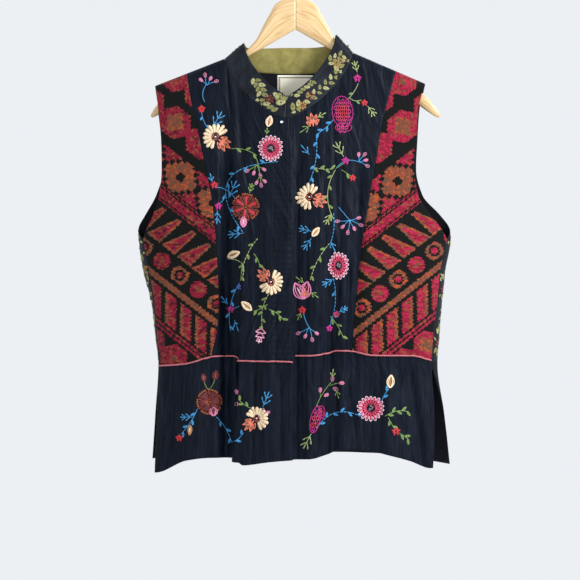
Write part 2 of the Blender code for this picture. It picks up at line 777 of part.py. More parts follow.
def make_collar():
    """The brocade band and the facing inside it."""
    wall("collar_band", collar_rows(0.0, COLLAR_OFF_SEAM, 3), CLOTH, BROCADE)
    inside = -(CLOTH / 2 + SEAM_GAP + FACING / 2)
    wall("collar_facing", collar_rows(inside, COLLAR_OFF_SEAM + 0.0008, 3), FACING, OLIVE)


def make_label():
    """The bare label sewn inside the back neck."""
    left, right, top, bottom = LABEL
    inside = CLOTH / 2 + SEAM_GAP + LABEL_THICKNESS / 2
    rows = []
    for i in range(4):
        z = mix(top, bottom, i / 3)
        row = []
        for j in range(7):
            angle = loop_angle(mix(left, right, j / 6), z, front=False)
            out = outward(angle, z)
            row.append((body(angle, z) - out * inside, out))
        rows.append(row)
    wall("neck_label", rows, LABEL_THICKNESS, LABEL_CREAM)


def tube(name, points, radius, sides, colour, roughness, metallic=0.0):
    """A round bar along points, as a curve with filled caps."""
    curve = bpy.data.curves.new(name, "CURVE")
    curve.dimensions = "3D"
    curve.bevel_depth = radius
    curve.bevel_resolution = sides
    curve.use_fill_caps = True
    spline = curve.splines.new("POLY")
    spline.points.add(len(points) - 1)
    for slot, p in zip(spline.points, points):
        slot.co = (*p, 1.0)
    obj = bpy.data.objects.new(name, curve)
    bpy.context.scene.collection.objects.link(obj)
    paint(obj, colour, roughness, metallic)
    return obj


def piping_points(lines, waist, lift=None):
    """The middle line of the piping, laid on the outside of the waist seam."""
    lift = lift or (lambda a, h: 0.0)
    off = CLOTH / 2 + SEAM_GAP + PIPING_RADIUS
    points = []
    for line in lines:
        z = where(line, waist, -0.66, -0.58)
        angle = line(z)
        points.append(body(angle, z, lift(angle, z)) + outward(angle, z, lift) * off)
    return points


def make_piping():
    """The salmon cord let into the waist seam of both fronts."""
    points = piping_points(across_left(0.002), LEFT_WAIST, lap_lift)
    tube("waist_piping_left", points, PIPING_RADIUS, 1, SALMON, 0.6)
    lines = [line for line in across_right(0.002) if loop_x(line(-0.612), -0.612) > -0.002]
    points = piping_points(lines, RIGHT_WAIST)
    tube("waist_piping_right", points, PIPING_RADIUS, 1, SALMON, 0.6)


def make_button():
    """The small metal button that closes the neck."""
    x, z = BUTTON_AT
    angle = loop_angle(x, z)
    out = outward(angle, z, lap_lift)
    base = body(angle, z, lap_lift(angle, z)) + out * (CLOTH / 2 + SEAM_GAP)
    across = out.orthogonal().normalized()
    other = out.cross(across)
    profile = ((0.80, 0.0), (1.0, 0.28), (0.93, 0.62), (0.60, 0.92))
    mesh = bmesh.new()
    rings = []
    sides = 14
    for wide, high in profile:
        ring = []
        for k in range(sides):
            a = 2 * math.pi * k / sides
            spoke = across * math.cos(a) + other * math.sin(a)
            ring.append(mesh.verts.new(base + spoke * wide * BUTTON_RADIUS + out * high * BUTTON_HEIGHT))
        rings.append(ring)
    for low, high in zip(rings, rings[1:]):
        for k in range(sides):
            mesh.faces.new((low[k], low[(k + 1) % sides], high[(k + 1) % sides], high[k]))
    mesh.faces.new(list(reversed(rings[0])))
    mesh.faces.new(rings[-1])
    finish("neck_button", mesh, STEEL, 0.3, 1.0)


def arm(name, side):
    """One half of the hanger, from the joint in the crown to its tip."""
    sides = 12
    mesh = bmesh.new()
    rings = []
    for n, cut in enumerate(HANGER_ARM):
        tip = 1 - 0.45 * ease((cut.x - 0.205) / 0.0165)
        x = side * max(cut.x, HANGER_JOINT_GAP / 2)
        middle = (cut.top + cut.bottom) / 2
        ring = []
        for k in range(sides):
            a = 2 * math.pi * (k + 0.5) / sides
            cos, sin = math.cos(a), math.sin(a)
            size = (abs(cos) ** HANGER_SQUARENESS + abs(sin) ** HANGER_SQUARENESS) ** (-1 / HANGER_SQUARENESS)
            y = HANGER_HALF_THICKNESS * tip * cos * size
            z = middle + (cut.top - cut.bottom) / 2 * sin * size
            ring.append(mesh.verts.new((x, y, z)))
        rings.append(ring)
    for a, b in zip(rings, rings[1:]):
        for k in range(sides):
            mesh.faces.new((a[k], a[(k + 1) % sides], b[(k + 1) % sides], b[k]))
    mesh.faces.new(rings[0])
    mesh.faces.new(list(reversed(rings[-1])))
    finish(name, mesh, WOOD, 0.4)


def make_hanger():
    """Two wooden arms jointed in the middle, and the wire hook standing on them."""
    arm("hanger_left", -1)
    arm("hanger_right", 1)
    centre = Vector((0, 0, HOOK_WIRE_RADIUS - HOOK_BEND_RADIUS))
    bend = []
    steps = 30
    for k in range(steps + 1):
        a = math.radians(mix(HOOK_BEND_STARTS, HOOK_BEND_ENDS, k / steps))
        bend.append(centre + Vector((math.cos(a), 0, math.sin(a))) * HOOK_BEND_RADIUS)
    foot = Vector((0, 0, HANGER_ARM[0].top + SEAM_GAP))
    knee = Vector((0, 0, HOOK_STEM_TOP_Z))
    leaving = Vector((0, 0, 1))
    coming = (bend[1] - bend[0]).normalized()
    reach = (bend[0] - knee).length * 0.55
    stem = [foot, foot.lerp(knee, 0.5)]
    for k in range(7):
        q = k / 7
        a, b, c = knee, knee + leaving * reach, bend[0] - coming * reach
        stem.append(
            a * (1 - q) ** 3 + b * 3 * q * (1 - q) ** 2 + c * 3 * q**2 * (1 - q) + bend[0] * q**3
        )
    tube("hanger_hook", stem + bend, HOOK_WIRE_RADIUS, 2, STEEL, 0.25, 1.0)


def main():
    for obj in list(bpy.data.objects):
        bpy.data.objects.remove(obj)
    make_front()
    make_back()
    make_collar()
    make_label()
    make_piping()
    make_button()
    make_hanger()


main()
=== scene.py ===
"""The looks of a sleeveless embroidered vest with a stand collar, hung on a wooden hanger.

Metres, +Z up. The front faces -Y. The origin is the top of the inside of the hanger's hook.
The cloth is one loop round the body at each height: angle 0 is the left side point of the
loop, 90 degrees the middle of the front, 180 the right side point, negative round the back.
"""

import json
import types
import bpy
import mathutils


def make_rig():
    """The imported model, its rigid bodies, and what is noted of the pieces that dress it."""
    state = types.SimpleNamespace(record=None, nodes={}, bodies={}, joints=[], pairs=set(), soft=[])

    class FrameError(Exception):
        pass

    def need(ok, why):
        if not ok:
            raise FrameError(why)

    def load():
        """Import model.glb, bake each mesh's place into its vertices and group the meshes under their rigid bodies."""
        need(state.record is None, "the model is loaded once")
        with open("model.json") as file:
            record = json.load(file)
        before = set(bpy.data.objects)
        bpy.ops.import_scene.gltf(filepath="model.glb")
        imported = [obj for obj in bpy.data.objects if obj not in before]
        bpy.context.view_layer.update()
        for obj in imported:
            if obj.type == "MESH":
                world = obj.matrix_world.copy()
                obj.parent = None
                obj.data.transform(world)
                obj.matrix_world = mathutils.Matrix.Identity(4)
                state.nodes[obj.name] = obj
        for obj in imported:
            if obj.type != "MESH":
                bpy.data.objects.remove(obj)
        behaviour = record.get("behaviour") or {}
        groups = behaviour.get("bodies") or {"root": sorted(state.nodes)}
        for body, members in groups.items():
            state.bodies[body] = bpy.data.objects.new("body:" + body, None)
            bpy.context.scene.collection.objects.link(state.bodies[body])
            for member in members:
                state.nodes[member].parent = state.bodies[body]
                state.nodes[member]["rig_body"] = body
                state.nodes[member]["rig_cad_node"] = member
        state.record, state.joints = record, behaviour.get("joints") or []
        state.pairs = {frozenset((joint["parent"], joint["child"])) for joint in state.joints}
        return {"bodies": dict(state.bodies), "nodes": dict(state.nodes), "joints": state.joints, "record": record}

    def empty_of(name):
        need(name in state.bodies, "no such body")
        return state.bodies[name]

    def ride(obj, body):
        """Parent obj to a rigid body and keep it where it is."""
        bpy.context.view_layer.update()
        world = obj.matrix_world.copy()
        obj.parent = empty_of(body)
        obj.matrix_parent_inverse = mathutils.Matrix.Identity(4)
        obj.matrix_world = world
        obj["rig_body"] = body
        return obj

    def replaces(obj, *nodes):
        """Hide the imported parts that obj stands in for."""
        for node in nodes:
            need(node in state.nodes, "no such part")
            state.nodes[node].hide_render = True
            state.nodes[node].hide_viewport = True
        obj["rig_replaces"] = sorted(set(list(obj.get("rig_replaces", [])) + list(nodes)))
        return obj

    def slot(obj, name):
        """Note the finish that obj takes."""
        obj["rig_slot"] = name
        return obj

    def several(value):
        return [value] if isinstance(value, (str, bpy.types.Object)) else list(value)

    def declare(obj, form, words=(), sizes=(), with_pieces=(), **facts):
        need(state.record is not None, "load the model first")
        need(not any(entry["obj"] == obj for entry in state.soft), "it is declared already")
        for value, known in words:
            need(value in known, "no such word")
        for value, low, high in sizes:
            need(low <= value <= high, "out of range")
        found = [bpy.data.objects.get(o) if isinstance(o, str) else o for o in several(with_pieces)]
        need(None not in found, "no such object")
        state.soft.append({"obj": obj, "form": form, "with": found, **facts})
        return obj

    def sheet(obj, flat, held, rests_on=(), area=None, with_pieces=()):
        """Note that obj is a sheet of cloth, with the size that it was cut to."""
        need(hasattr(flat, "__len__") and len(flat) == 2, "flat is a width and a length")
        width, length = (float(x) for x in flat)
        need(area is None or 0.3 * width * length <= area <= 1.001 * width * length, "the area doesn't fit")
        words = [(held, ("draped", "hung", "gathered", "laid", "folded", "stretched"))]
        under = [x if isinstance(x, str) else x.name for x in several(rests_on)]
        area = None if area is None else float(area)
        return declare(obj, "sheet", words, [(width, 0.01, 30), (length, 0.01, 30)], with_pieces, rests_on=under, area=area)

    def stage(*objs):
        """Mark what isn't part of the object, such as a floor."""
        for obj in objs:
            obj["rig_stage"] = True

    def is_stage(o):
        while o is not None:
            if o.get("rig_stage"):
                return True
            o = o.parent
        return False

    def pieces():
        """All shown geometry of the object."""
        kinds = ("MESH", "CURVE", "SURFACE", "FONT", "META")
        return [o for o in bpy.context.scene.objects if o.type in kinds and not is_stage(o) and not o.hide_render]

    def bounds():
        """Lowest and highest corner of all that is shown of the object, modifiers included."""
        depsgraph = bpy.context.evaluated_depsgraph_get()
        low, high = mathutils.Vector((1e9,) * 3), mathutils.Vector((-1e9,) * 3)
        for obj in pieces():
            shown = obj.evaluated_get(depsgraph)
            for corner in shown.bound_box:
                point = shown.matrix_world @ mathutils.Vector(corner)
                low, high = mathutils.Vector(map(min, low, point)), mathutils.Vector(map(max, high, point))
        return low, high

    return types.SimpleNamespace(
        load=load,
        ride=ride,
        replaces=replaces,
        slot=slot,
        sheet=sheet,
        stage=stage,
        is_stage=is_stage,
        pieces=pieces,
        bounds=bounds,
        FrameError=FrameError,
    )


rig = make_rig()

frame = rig.load()
CAD_BOX = [list(corner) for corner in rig.bounds()]

import json
import math
from collections import namedtuple

import bpy
import numpy as np
from mathutils import Vector
from mathutils.bvhtree import BVHTree

SCENE = bpy.context.scene

# ---------------------------------------------------------------------------------------
# The form of the cloth, as in the part's source
# ---------------------------------------------------------------------------------------

CLOTH = 0.0016
FACING = 0.0010
LABEL_THICKNESS = 0.0006
SEAM_GAP = 0.0003
PIPING_RADIUS = 0.0012

Section = namedtuple("Section", "z left right front back")
SECTIONS = [Section(*row) for row in (
    (-0.120, 0.232, 0.212, 0.0110, 0.0100),
    (-0.160, 0.235, 0.214, 0.0135, 0.0130),
    (-0.200, 0.237, 0.217, 0.0210, 0.0200),
    (-0.225, 0.240, 0.221, 0.0310, 0.0230),
    (-0.253, 0.243, 0.2245, 0.0420, 0.0260),
    (-0.284, 0.244, 0.227, 0.0470, 0.0280),
    (-0.330, 0.2455, 0.229, 0.0530, 0.0300),
    (-0.368, 0.242, 0.230, 0.0560, 0.0310),
    (-0.399, 0.241, 0.2335, 0.0580, 0.0320),
    (-0.435, 0.239, 0.2365, 0.0600, 0.0330),
    (-0.484, 0.232, 0.2285, 0.0600, 0.0340),
    (-0.531, 0.220, 0.2235, 0.0580, 0.0340),
    (-0.580, 0.214, 0.2195, 0.0560, 0.0330),
    (-0.626, 0.209, 0.2165, 0.0540, 0.0320),
    (-0.700, 0.2135, 0.2265, 0.0570, 0.0360),
    (-0.800, 0.2200, 0.2380, 0.0620, 0.0420),
)]

# Where the panels end at the sides, in degrees round the loop from its side point
Edge = namedtuple("Edge", "z front_left front_right back_left back_right")
UNDERARM = -0.436
ARMHOLES = [Edge(*row) for row in (
    (-0.200, 25.0, 25.0, 25.0, 24.0),
    (-0.238, 30.0, 33.0, 30.0, 31.5),
    (-0.284, 33.0, 36.0, 33.0, 34.5),
    (-0.330, 34.0, 38.0, 34.0, 36.0),
    (-0.368, 31.0, 36.0, 28.0, 32.0),
    (-0.399, 26.0, 28.5, 17.0, 18.0),
    (-0.418, 20.0, 20.5, 4.0, 4.0),
    (UNDERARM, 14.0, 13.0, -14.0, -13.0),
)]
SIDE_SEAMS = [Edge(*row) for row in (
    (UNDERARM, 14.0, 13.0, -14.0, -13.0),
    (-0.484, 16.0, 15.5, -16.0, -15.5),
    (-0.531, 12.0, 15.0, -12.0, -15.0),
    (-0.580, 10.0, 17.0, -10.0, -17.0),
    (-0.630, 6.0, 16.5, -6.0, -16.5),
)]
VENTS = [Edge(*row) for row in (
    (-0.630, 6.0, 16.5, -6.0, -16.5),
    (-0.650, 6.5, 17.5, -4.5, -12.0),
    (-0.700, 9.0, 21.0, -2.0, -3.0),
    (-0.800, 12.5, 29.0, 0.0, 4.0),
)]

# Seams between the middle and side panels: x at each height
Seam = namedtuple("Seam", "z front_left front_right back_left back_right")
SEAMS = [Seam(*row) for row in (
    (-0.182, -0.166, 0.152, -0.160, 0.146),
    (-0.215, -0.161, 0.143, -0.152, 0.138),
    (-0.268, -0.149, 0.130, -0.140, 0.126),
    (-0.322, -0.138, 0.121, -0.130, 0.117),
    (-0.383, -0.126, 0.110, -0.120, 0.108),
    (-0.450, -0.120, 0.100, -0.112, 0.102),
    (-0.530, -0.117, 0.0915, -0.108, 0.099),
    (-0.570, -0.119, 0.088, -0.107, 0.098),
    (-0.612, -0.127, 0.085, -0.107, 0.098),
    (-0.800, -0.140, 0.090, -0.107, 0.098),
)]

# The waist seam and the hem: height at each x
Level = namedtuple("Level", "x waist hem")
LEFT_LEVELS = [Level(*row) for row in (
    (-0.222, -0.6296, -0.7925),
    (-0.209, -0.6290, -0.7910),
    (-0.165, -0.6252, -0.7720),
    (-0.138, -0.6173, -0.7685),
    (-0.123, -0.6140, -0.7680),
    (-0.094, -0.6135, -0.7682),
    (-0.080, -0.6204, -0.7785),
    (-0.039, -0.6216, -0.7734),
    (0.000, -0.6227, -0.7703),
)]
RIGHT_LEVELS = [Level(*row) for row in (
    (-0.040, -0.6128, -0.7703),
    (0.020, -0.6128, -0.7690),
    (0.048, -0.6090, -0.7620),
    (0.066, -0.6050, -0.7550),
    (0.086, -0.6062, -0.7545),
    (0.116, -0.6122, -0.7580),
    (0.150, -0.6128, -0.7660),
    (0.175, -0.6128, -0.7734),
    (0.205, -0.6200, -0.7840),
    (0.240, -0.6260, -0.7840),
)]
BACK_LEVELS = [Level(*row) for row in (
    (-0.222, -0.6290, -0.7710),
    (-0.120, -0.6200, -0.7640),
    (0.000, -0.6170, -0.7620),
    (0.120, -0.6190, -0.7640),
    (0.240, -0.6250, -0.7800),
)]

# Shoulders, neck and collar
SHOULDER_LEFT = ((-0.108, -0.1600), (-0.216, -0.2025))
SHOULDER_RIGHT = ((0.088, -0.1508), (0.198, -0.1985))
SHOULDER_ROUND = 0.013
NECK_FRONT = (-0.016, -0.2530)
NECK_BACK_Z = -0.1800
NECK_FRONT_SHAPE = 1.45
NECK_BACK_SHAPE = 2.3
NECK_STRAIGHT_FROM = 0.957
COLLAR_HEIGHT = 0.0380
COLLAR_MIDDLE_X = -0.004
COLLAR_DRAWN_IN = (0.28, 0.20)
COLLAR_OFF_SEAM = 0.0004
COLLAR_CORNER = 0.0070

# The front opening: the left edge laps over the right front
LAP_EDGE_TOP_X = -0.0100
LAP_EDGE_X = -0.0050
LAP_EDGE_FULL_Z = -0.330
UNDERLAP_X = -0.0320
LAP_LIFT = 0.0026
LAP_LIFT_FROM_X = -0.064
LAP_LIFT_WIDTH = 0.022

# Soft folds: a valley is above zero, a ridge below
Fold = namedtuple("Fold", "top_x top_z foot_x foot_z width depth")
FRONT_FOLDS = [Fold(*row) for row in (
    (-0.108, -0.215, -0.1085, -0.810, 0.0090, 0.0070),
    (-0.091, -0.170, -0.080, -0.330, 0.0065, 0.0045),
    (-0.060, -0.300, -0.058, -0.600, 0.0090, 0.0022),
    (-0.040, -0.420, -0.036, -0.790, 0.0080, -0.0022),
    (0.006, -0.250, 0.004, -0.810, 0.0070, 0.0040),
    (0.030, -0.330, 0.026, -0.810, 0.0090, -0.0030),
    (0.055, -0.420, 0.048, -0.810, 0.0100, 0.0050),
    (0.078, -0.470, 0.071, -0.800, 0.0100, -0.0060),
    (0.098, -0.300, 0.088, -0.640, 0.0080, 0.0060),
    (0.116, -0.620, 0.110, -0.810, 0.0090, 0.0050),
    (0.140, -0.610, 0.146, -0.810, 0.0110, -0.0050),
    (0.168, -0.610, 0.176, -0.810, 0.0080, 0.0050),
    (-0.152, -0.620, -0.160, -0.810, 0.0130, -0.0050),
    (-0.186, -0.620, -0.190, -0.810, 0.0090, 0.0050),
    (-0.197, -0.380, -0.196, -0.600, 0.0070, -0.0030),
)]
BACK_FOLDS = [Fold(*row) for row in (
    (-0.130, -0.400, -0.140, -0.810, 0.0200, 0.0060),
    (-0.060, -0.460, -0.064, -0.810, 0.0150, -0.0060),
    (0.010, -0.430, 0.012, -0.810, 0.0170, 0.0050),
    (0.080, -0.470, 0.084, -0.810, 0.0150, -0.0060),
    (0.150, -0.400, 0.158, -0.810, 0.0200, 0.0060),
)]
FOLD_FADE = 0.060
CREASE_FADE = 0.045

# Creases that are too fine for the part's source
FRONT_CREASES = [Fold(*row) for row in (
    (-0.1030, -0.300, -0.1030, -0.815, 0.0085, 0.0070),
    (-0.1075, -0.165, -0.0950, -0.262, 0.0032, 0.0034),
    (0.0800, -0.450, 0.0800, -0.640, 0.0050, 0.0058),
    (0.0690, -0.600, 0.0880, -0.730, 0.0060, 0.0050),
    (0.1700, -0.600, 0.1960, -0.815, 0.0070, 0.0060),
    (0.0005, -0.300, 0.0005, -0.815, 0.0036, 0.0034),
    (-0.0850, -0.600, -0.0840, -0.815, 0.0040, 0.0040),
    (-0.1030, -0.190, -0.0970, -0.420, 0.0030, 0.0017),
    (-0.0960, -0.230, -0.0900, -0.600, 0.0028, 0.0014),
    (-0.1180, -0.280, -0.1140, -0.560, 0.0032, -0.0015),
    (-0.0750, -0.330, -0.0700, -0.520, 0.0030, 0.0017),
    (-0.0480, -0.390, -0.0500, -0.620, 0.0026, 0.0015),
    (-0.0290, -0.470, -0.0310, -0.640, 0.0024, 0.0012),
    (-0.0690, -0.455, -0.0640, -0.640, 0.0028, -0.0014),
    (0.0180, -0.300, 0.0150, -0.560, 0.0028, 0.0015),
    (0.0400, -0.260, 0.0370, -0.500, 0.0032, -0.0015),
    (0.0560, -0.215, 0.0640, -0.430, 0.0030, 0.0017),
    (0.0720, -0.300, 0.0640, -0.560, 0.0028, 0.0015),
    (0.0850, -0.380, 0.0790, -0.610, 0.0026, 0.0017),
    (0.0460, -0.560, 0.0430, -0.700, 0.0028, -0.0019),
    (-0.0620, -0.600, -0.0660, -0.800, 0.0034, 0.0022),
    (-0.0480, -0.620, -0.0450, -0.810, 0.0034, -0.0020),
    (-0.0240, -0.610, -0.0210, -0.800, 0.0032, 0.0020),
    (0.0180, -0.600, 0.0200, -0.810, 0.0034, -0.0022),
    (0.0340, -0.610, 0.0380, -0.800, 0.0030, 0.0022),
    (0.0640, -0.610, 0.0600, -0.810, 0.0034, 0.0024),
    (0.0950, -0.600, 0.0980, -0.800, 0.0030, -0.0022),
    (0.1290, -0.610, 0.1270, -0.780, 0.0034, 0.0024),
    (0.1550, -0.610, 0.1600, -0.810, 0.0036, 0.0020),
    (-0.1300, -0.610, -0.1330, -0.800, 0.0034, 0.0022),
    (-0.1700, -0.615, -0.1740, -0.800, 0.0036, 0.0020),
    (-0.1990, -0.620, -0.2030, -0.800, 0.0030, -0.0017),
)]
BACK_CREASES = [Fold(*row) for row in (
    (-0.0900, -0.250, -0.0960, -0.560, 0.0040, 0.0017),
    (-0.0300, -0.300, -0.0260, -0.600, 0.0036, -0.0015),
    (0.0500, -0.270, 0.0440, -0.580, 0.0040, 0.0017),
    (0.1000, -0.330, 0.1060, -0.640, 0.0034, -0.0017),
    (-0.1100, -0.600, -0.1120, -0.800, 0.0040, 0.0024),
    (-0.0400, -0.600, -0.0360, -0.800, 0.0038, 0.0022),
    (0.0300, -0.600, 0.0340, -0.800, 0.0036, -0.0022),
    (0.0600, -0.600, 0.0560, -0.800, 0.0040, 0.0024),
    (0.1300, -0.600, 0.1350, -0.800, 0.0038, 0.0022),
)]
PLACKET_STITCHES = ((-0.0315, -0.262), (-0.0398, -0.613))
LAP_STITCHES = ((-0.0125, -0.266), (-0.0078, -0.613))
STITCHES_DOWN = 118
PUCKER_PITCH = 0.0085
PUCKER_DEPTH = 0.00045
WAIST_GATHER_PITCH = 0.0125
WAIST_GATHER_DEPTH = 0.00075
FRONT_GATHER_Z, BACK_GATHER_Z = -0.6165, -0.6190
LEAN_FROM_Z, LEAN_RUN = -0.16, 0.46

# The one fold that doubles over on itself, left of the opening
Guide = namedtuple("Guide", "z x")
PLEAT_LINE = [Guide(*row) for row in (
    (-0.160, -0.1090),
    (-0.300, -0.0985),
    (-0.450, -0.0885),
    (-0.560, -0.0845),
    (-0.613, -0.0835),
    (-0.700, -0.0880),
    (-0.800, -0.0965),
)]
PLEAT_WIDTH = 0.0085
PLEAT_CLOTH = 0.0330
PLEAT_START_Z = -0.425
PLEAT_FULL_Z = -0.600
PLEAT_PARTS = (0.06, 0.40, 0.20, 0.28, 0.06)
PLEAT_RECESS_WIDTH = 0.060

LABEL = (-0.028, 0.027, -0.1835, -0.2185)
BUTTON_AT = (-0.0210, -0.2590)
BUTTON_RADIUS = 0.0023
BUTTON_HEIGHT = 0.0014

Cut = namedtuple("Cut", "x top bottom")
HANGER_HALF_THICKNESS = 0.0056
HANGER_SQUARENESS = 2.6
HANGER_JOINT_GAP = 0.0003
HANGER_ARM = [Cut(*row) for row in (
    (0.0000, -0.0650, -0.1150),
    (0.0150, -0.0675, -0.1235),
    (0.0300, -0.0755, -0.1321),
    (0.0400, -0.0920, -0.1378),
    (0.0500, -0.1103, -0.1435),
    (0.0600, -0.1297, -0.1492),
    (0.0700, -0.1412, -0.1550),
    (0.0790, -0.1490, -0.1608),
    (0.0880, -0.1552, -0.1668),
    (0.1000, -0.1606, -0.1737),
    (0.1120, -0.1642, -0.1805),
    (0.1250, -0.1683, -0.1888),
    (0.1400, -0.1750, -0.1980),
    (0.1550, -0.1834, -0.2072),
    (0.1700, -0.1935, -0.2172),
    (0.1900, -0.2090, -0.2316),
    (0.2050, -0.2225, -0.2424),
    (0.2140, -0.2330, -0.2478),
    (0.2190, -0.2405, -0.2496),
    (0.2215, -0.2455, -0.2480),
)]
HOOK_WIRE_RADIUS = 0.0019
HOOK_BEND_RADIUS = 0.0190
HOOK_BEND_STARTS = -62.0
HOOK_BEND_ENDS = 200.0
HOOK_STEM_TOP_Z = -0.0440


def ease(q):
    """A smooth step from 0 to 1."""
    q = np.clip(q, 0.0, 1.0)
    return q * q * (3 - 2 * q)


def mix(a, b, q):
    return a + (b - a) * q


def read(rows, column, at, key="z"):
    """A table's column as a smooth curve through its rows, level past both ends."""
    places = np.array([getattr(row, key) for row in rows])
    values = np.array([getattr(row, column) for row in rows])
    if places[0] > places[-1]:
        places, values = places[::-1], values[::-1]
    steps = np.diff(places)
    slopes = np.diff(values) / steps
    before, after = slopes[:-1], slopes[1:]
    turning = before * after <= 0
    inner = np.where(turning, 0.0, 2 * before * after / np.where(turning, 1.0, before + after))
    tangents = np.concatenate((slopes[:1], inner, slopes[-1:]))
    at = np.clip(at, places[0], places[-1])
    i = np.clip(np.searchsorted(places, at, side="right") - 1, 0, len(steps) - 1)
    q = (at - places[i]) / steps[i]
    return (
        (2 * q**3 - 3 * q**2 + 1) * values[i]
        + (q**3 - 2 * q**2 + q) * tangents[i] * steps[i]
        + (3 * q**2 - 2 * q**3) * values[i + 1]
        + (q**3 - q**2) * tangents[i + 1] * steps[i]
    )


def along(line, x):
    """The height of a straight line through two points, run on past both."""
    (x0, z0), (x1, z1) = line
    return mix(z0, z1, (x - x0) / (x1 - x0))


def shoulder_z(x):
    return np.minimum(along(SHOULDER_LEFT, x), along(SHOULDER_RIGHT, x))


def rounded(share, shape):
    """How far down the neckline has come: rounded, with a short straight run at its top."""
    share = np.clip(share, 0.0, 1.0)
    bend = (1 - np.minimum(share, NECK_STRAIGHT_FROM) ** shape) ** (1 / shape)
    return bend * np.minimum(1.0, (1 - share) / (1 - NECK_STRAIGHT_FROM))


def shoulder_point(left, room=0.0):
    """Where a shoulder seam meets the neckline, moved out along the seam by some room."""
    line = SHOULDER_LEFT if left else SHOULDER_RIGHT
    x = line[0][0] + (-room if left else room)
    return x, along(line, x)


def neck_z(x, front, room=0.0):
    """The neckline, from each shoulder point down to the middle of the front or back."""
    middle_x, middle_z = NECK_FRONT if front else (0.0, NECK_BACK_Z)
    left, right = shoulder_point(True, room), shoulder_point(False, room)
    point_x = np.where(x < middle_x, left[0], right[0])
    point_z = np.where(x < middle_x, left[1], right[1])
    shape = NECK_FRONT_SHAPE if front else NECK_BACK_SHAPE
    share = (x - middle_x) / (point_x - middle_x)
    return point_z - (point_z - middle_z + room) * rounded(share, shape)


def top_z(x, front):
    """The upper edge of the body: a shoulder seam, or the neckline between the shoulders."""
    left, right = (shoulder_point(side, COLLAR_OFF_SEAM)[0] for side in (True, False))
    return np.where((left < x) & (x < right), neck_z(x, front, COLLAR_OFF_SEAM), shoulder_z(x))


def shoulder_closing(x, z):
    """0 where front and back meet on the shoulder, rising round the arm of the hanger to 1."""
    share = np.clip((shoulder_z(x) - z) / SHOULDER_ROUND, 0.0, 1.0)
    return np.sqrt(1 - (1 - share) ** 2)


def folds_depth(folds, x, z, fade=FOLD_FADE):
    """How far soft folds push the cloth in at a place."""
    total = np.zeros(np.broadcast(x, z).shape)
    for fold in folds:
        down = (fold.top_z - z) / (fold.top_z - fold.foot_z)
        middle = mix(fold.top_x, fold.foot_x, np.clip(down, 0.0, 1.0))
        shown = ease((fold.top_z - z) / fade) * ease((z - fold.foot_z) / fade + 0.4)
        total += fold.depth * shown * np.exp(-(((x - middle) / fold.width) ** 2))
    return total


def pleat_path(share, turn, length):
    """Across and forward along the doubled fold, for a share of its cloth."""
    lead, rise, run, fall, _ = (part * length for part in PLEAT_PARTS)
    gone = share * length
    risen = np.clip(gone - lead, 0.0, rise)
    ran = np.clip(gone - lead - rise, 0.0, run)
    fell = np.clip(gone - lead - rise - run, 0.0, fall)
    after = np.maximum(gone - lead - rise - run - fall, 0.0)
    up, down = turn * risen / rise, turn * (1 - fell / fall)
    across = np.minimum(gone, lead) + rise / turn * np.sin(up) + ran * np.cos(turn)
    across += fall / turn * (np.sin(turn) - np.sin(down)) + after
    forward = rise / turn * (1 - np.cos(up)) + ran * np.sin(turn)
    return across, forward + fall / turn * (np.cos(down) - np.cos(turn))


def pleat_shift(x, z):
    """How far the doubled fold moves a point of the front sideways and back."""
    amount = ease((PLEAT_START_Z - z) / (PLEAT_START_Z - PLEAT_FULL_Z))
    turn = np.maximum(math.pi * amount, 1e-3)
    length = mix(PLEAT_WIDTH, PLEAT_CLOTH, amount)
    end_across, end_forward = pleat_path(1.0, turn, length)
    place = (x - read(PLEAT_LINE, "x", z)) / PLEAT_WIDTH
    share = np.clip(place, 0.0, 1.0)
    across, forward = pleat_path(share, turn, length)
    spare = PLEAT_WIDTH - end_across
    first, last = PLEAT_PARTS[0], PLEAT_PARTS[-1]
    flat = (np.minimum(share, first) + np.maximum(0.0, share - 1 + last)) / (first + last)
    across = across + spare * np.where(spare > 0, flat, share)
    folded = (place > 0) & (place < 1)
    recess = end_forward * np.exp(-((place * PLEAT_WIDTH / PLEAT_RECESS_WIDTH) ** 2))
    sideways = np.where(folded, across - share * PLEAT_WIDTH, 0.0)
    back = np.where(folded, end_forward - forward, np.where(place <= 0, recess, 0.0))
    shown = amount > 1e-4
    return sideways * shown, back * shown


def half_width(side_left, z):
    return np.where(side_left, read(SECTIONS, "left", z), read(SECTIONS, "right", z))


def loop_angle(x, z, front=True):
    """The angle round the loop at which it passes x."""
    angle = np.arccos(np.clip(-x / half_width(np.asarray(x) < 0, z), -1.0, 1.0))
    return angle if front else -angle


def loop_x(angle, z):
    return -half_width(np.cos(angle) > 0, z) * np.cos(angle)


def fine_front(x, z):
    """Fine creases, the puckers beside the placket's stitches and the gathers at the waist."""
    depth = folds_depth(FRONT_CREASES, x, z, CREASE_FADE)
    line = along([point[::-1] for point in PLACKET_STITCHES], z)
    edge = mix(LAP_EDGE_TOP_X, LAP_EDGE_X, ease((NECK_FRONT[1] - z) / 0.077))
    inside = ease((x - line) / 0.004) * ease((edge - x) / 0.005) * ease((NECK_FRONT[1] - z) / 0.01)
    ripple = np.sin(2 * math.pi * z / PUCKER_PITCH + 1.3 * np.sin(z * 90.0))
    depth = depth + PUCKER_DEPTH * ripple * inside * ease((z + 0.640) / 0.02)
    return depth + waist_gathers(x, z, FRONT_GATHER_Z)


def waist_gathers(x, z, waist):
    below = np.exp(-(((z - waist) / np.where(z < waist, 0.030, 0.012)) ** 2))
    wave = np.sin(2 * math.pi * x / WAIST_GATHER_PITCH + 1.7 * np.sin(x * 61.0))
    return WAIST_GATHER_DEPTH * below * wave


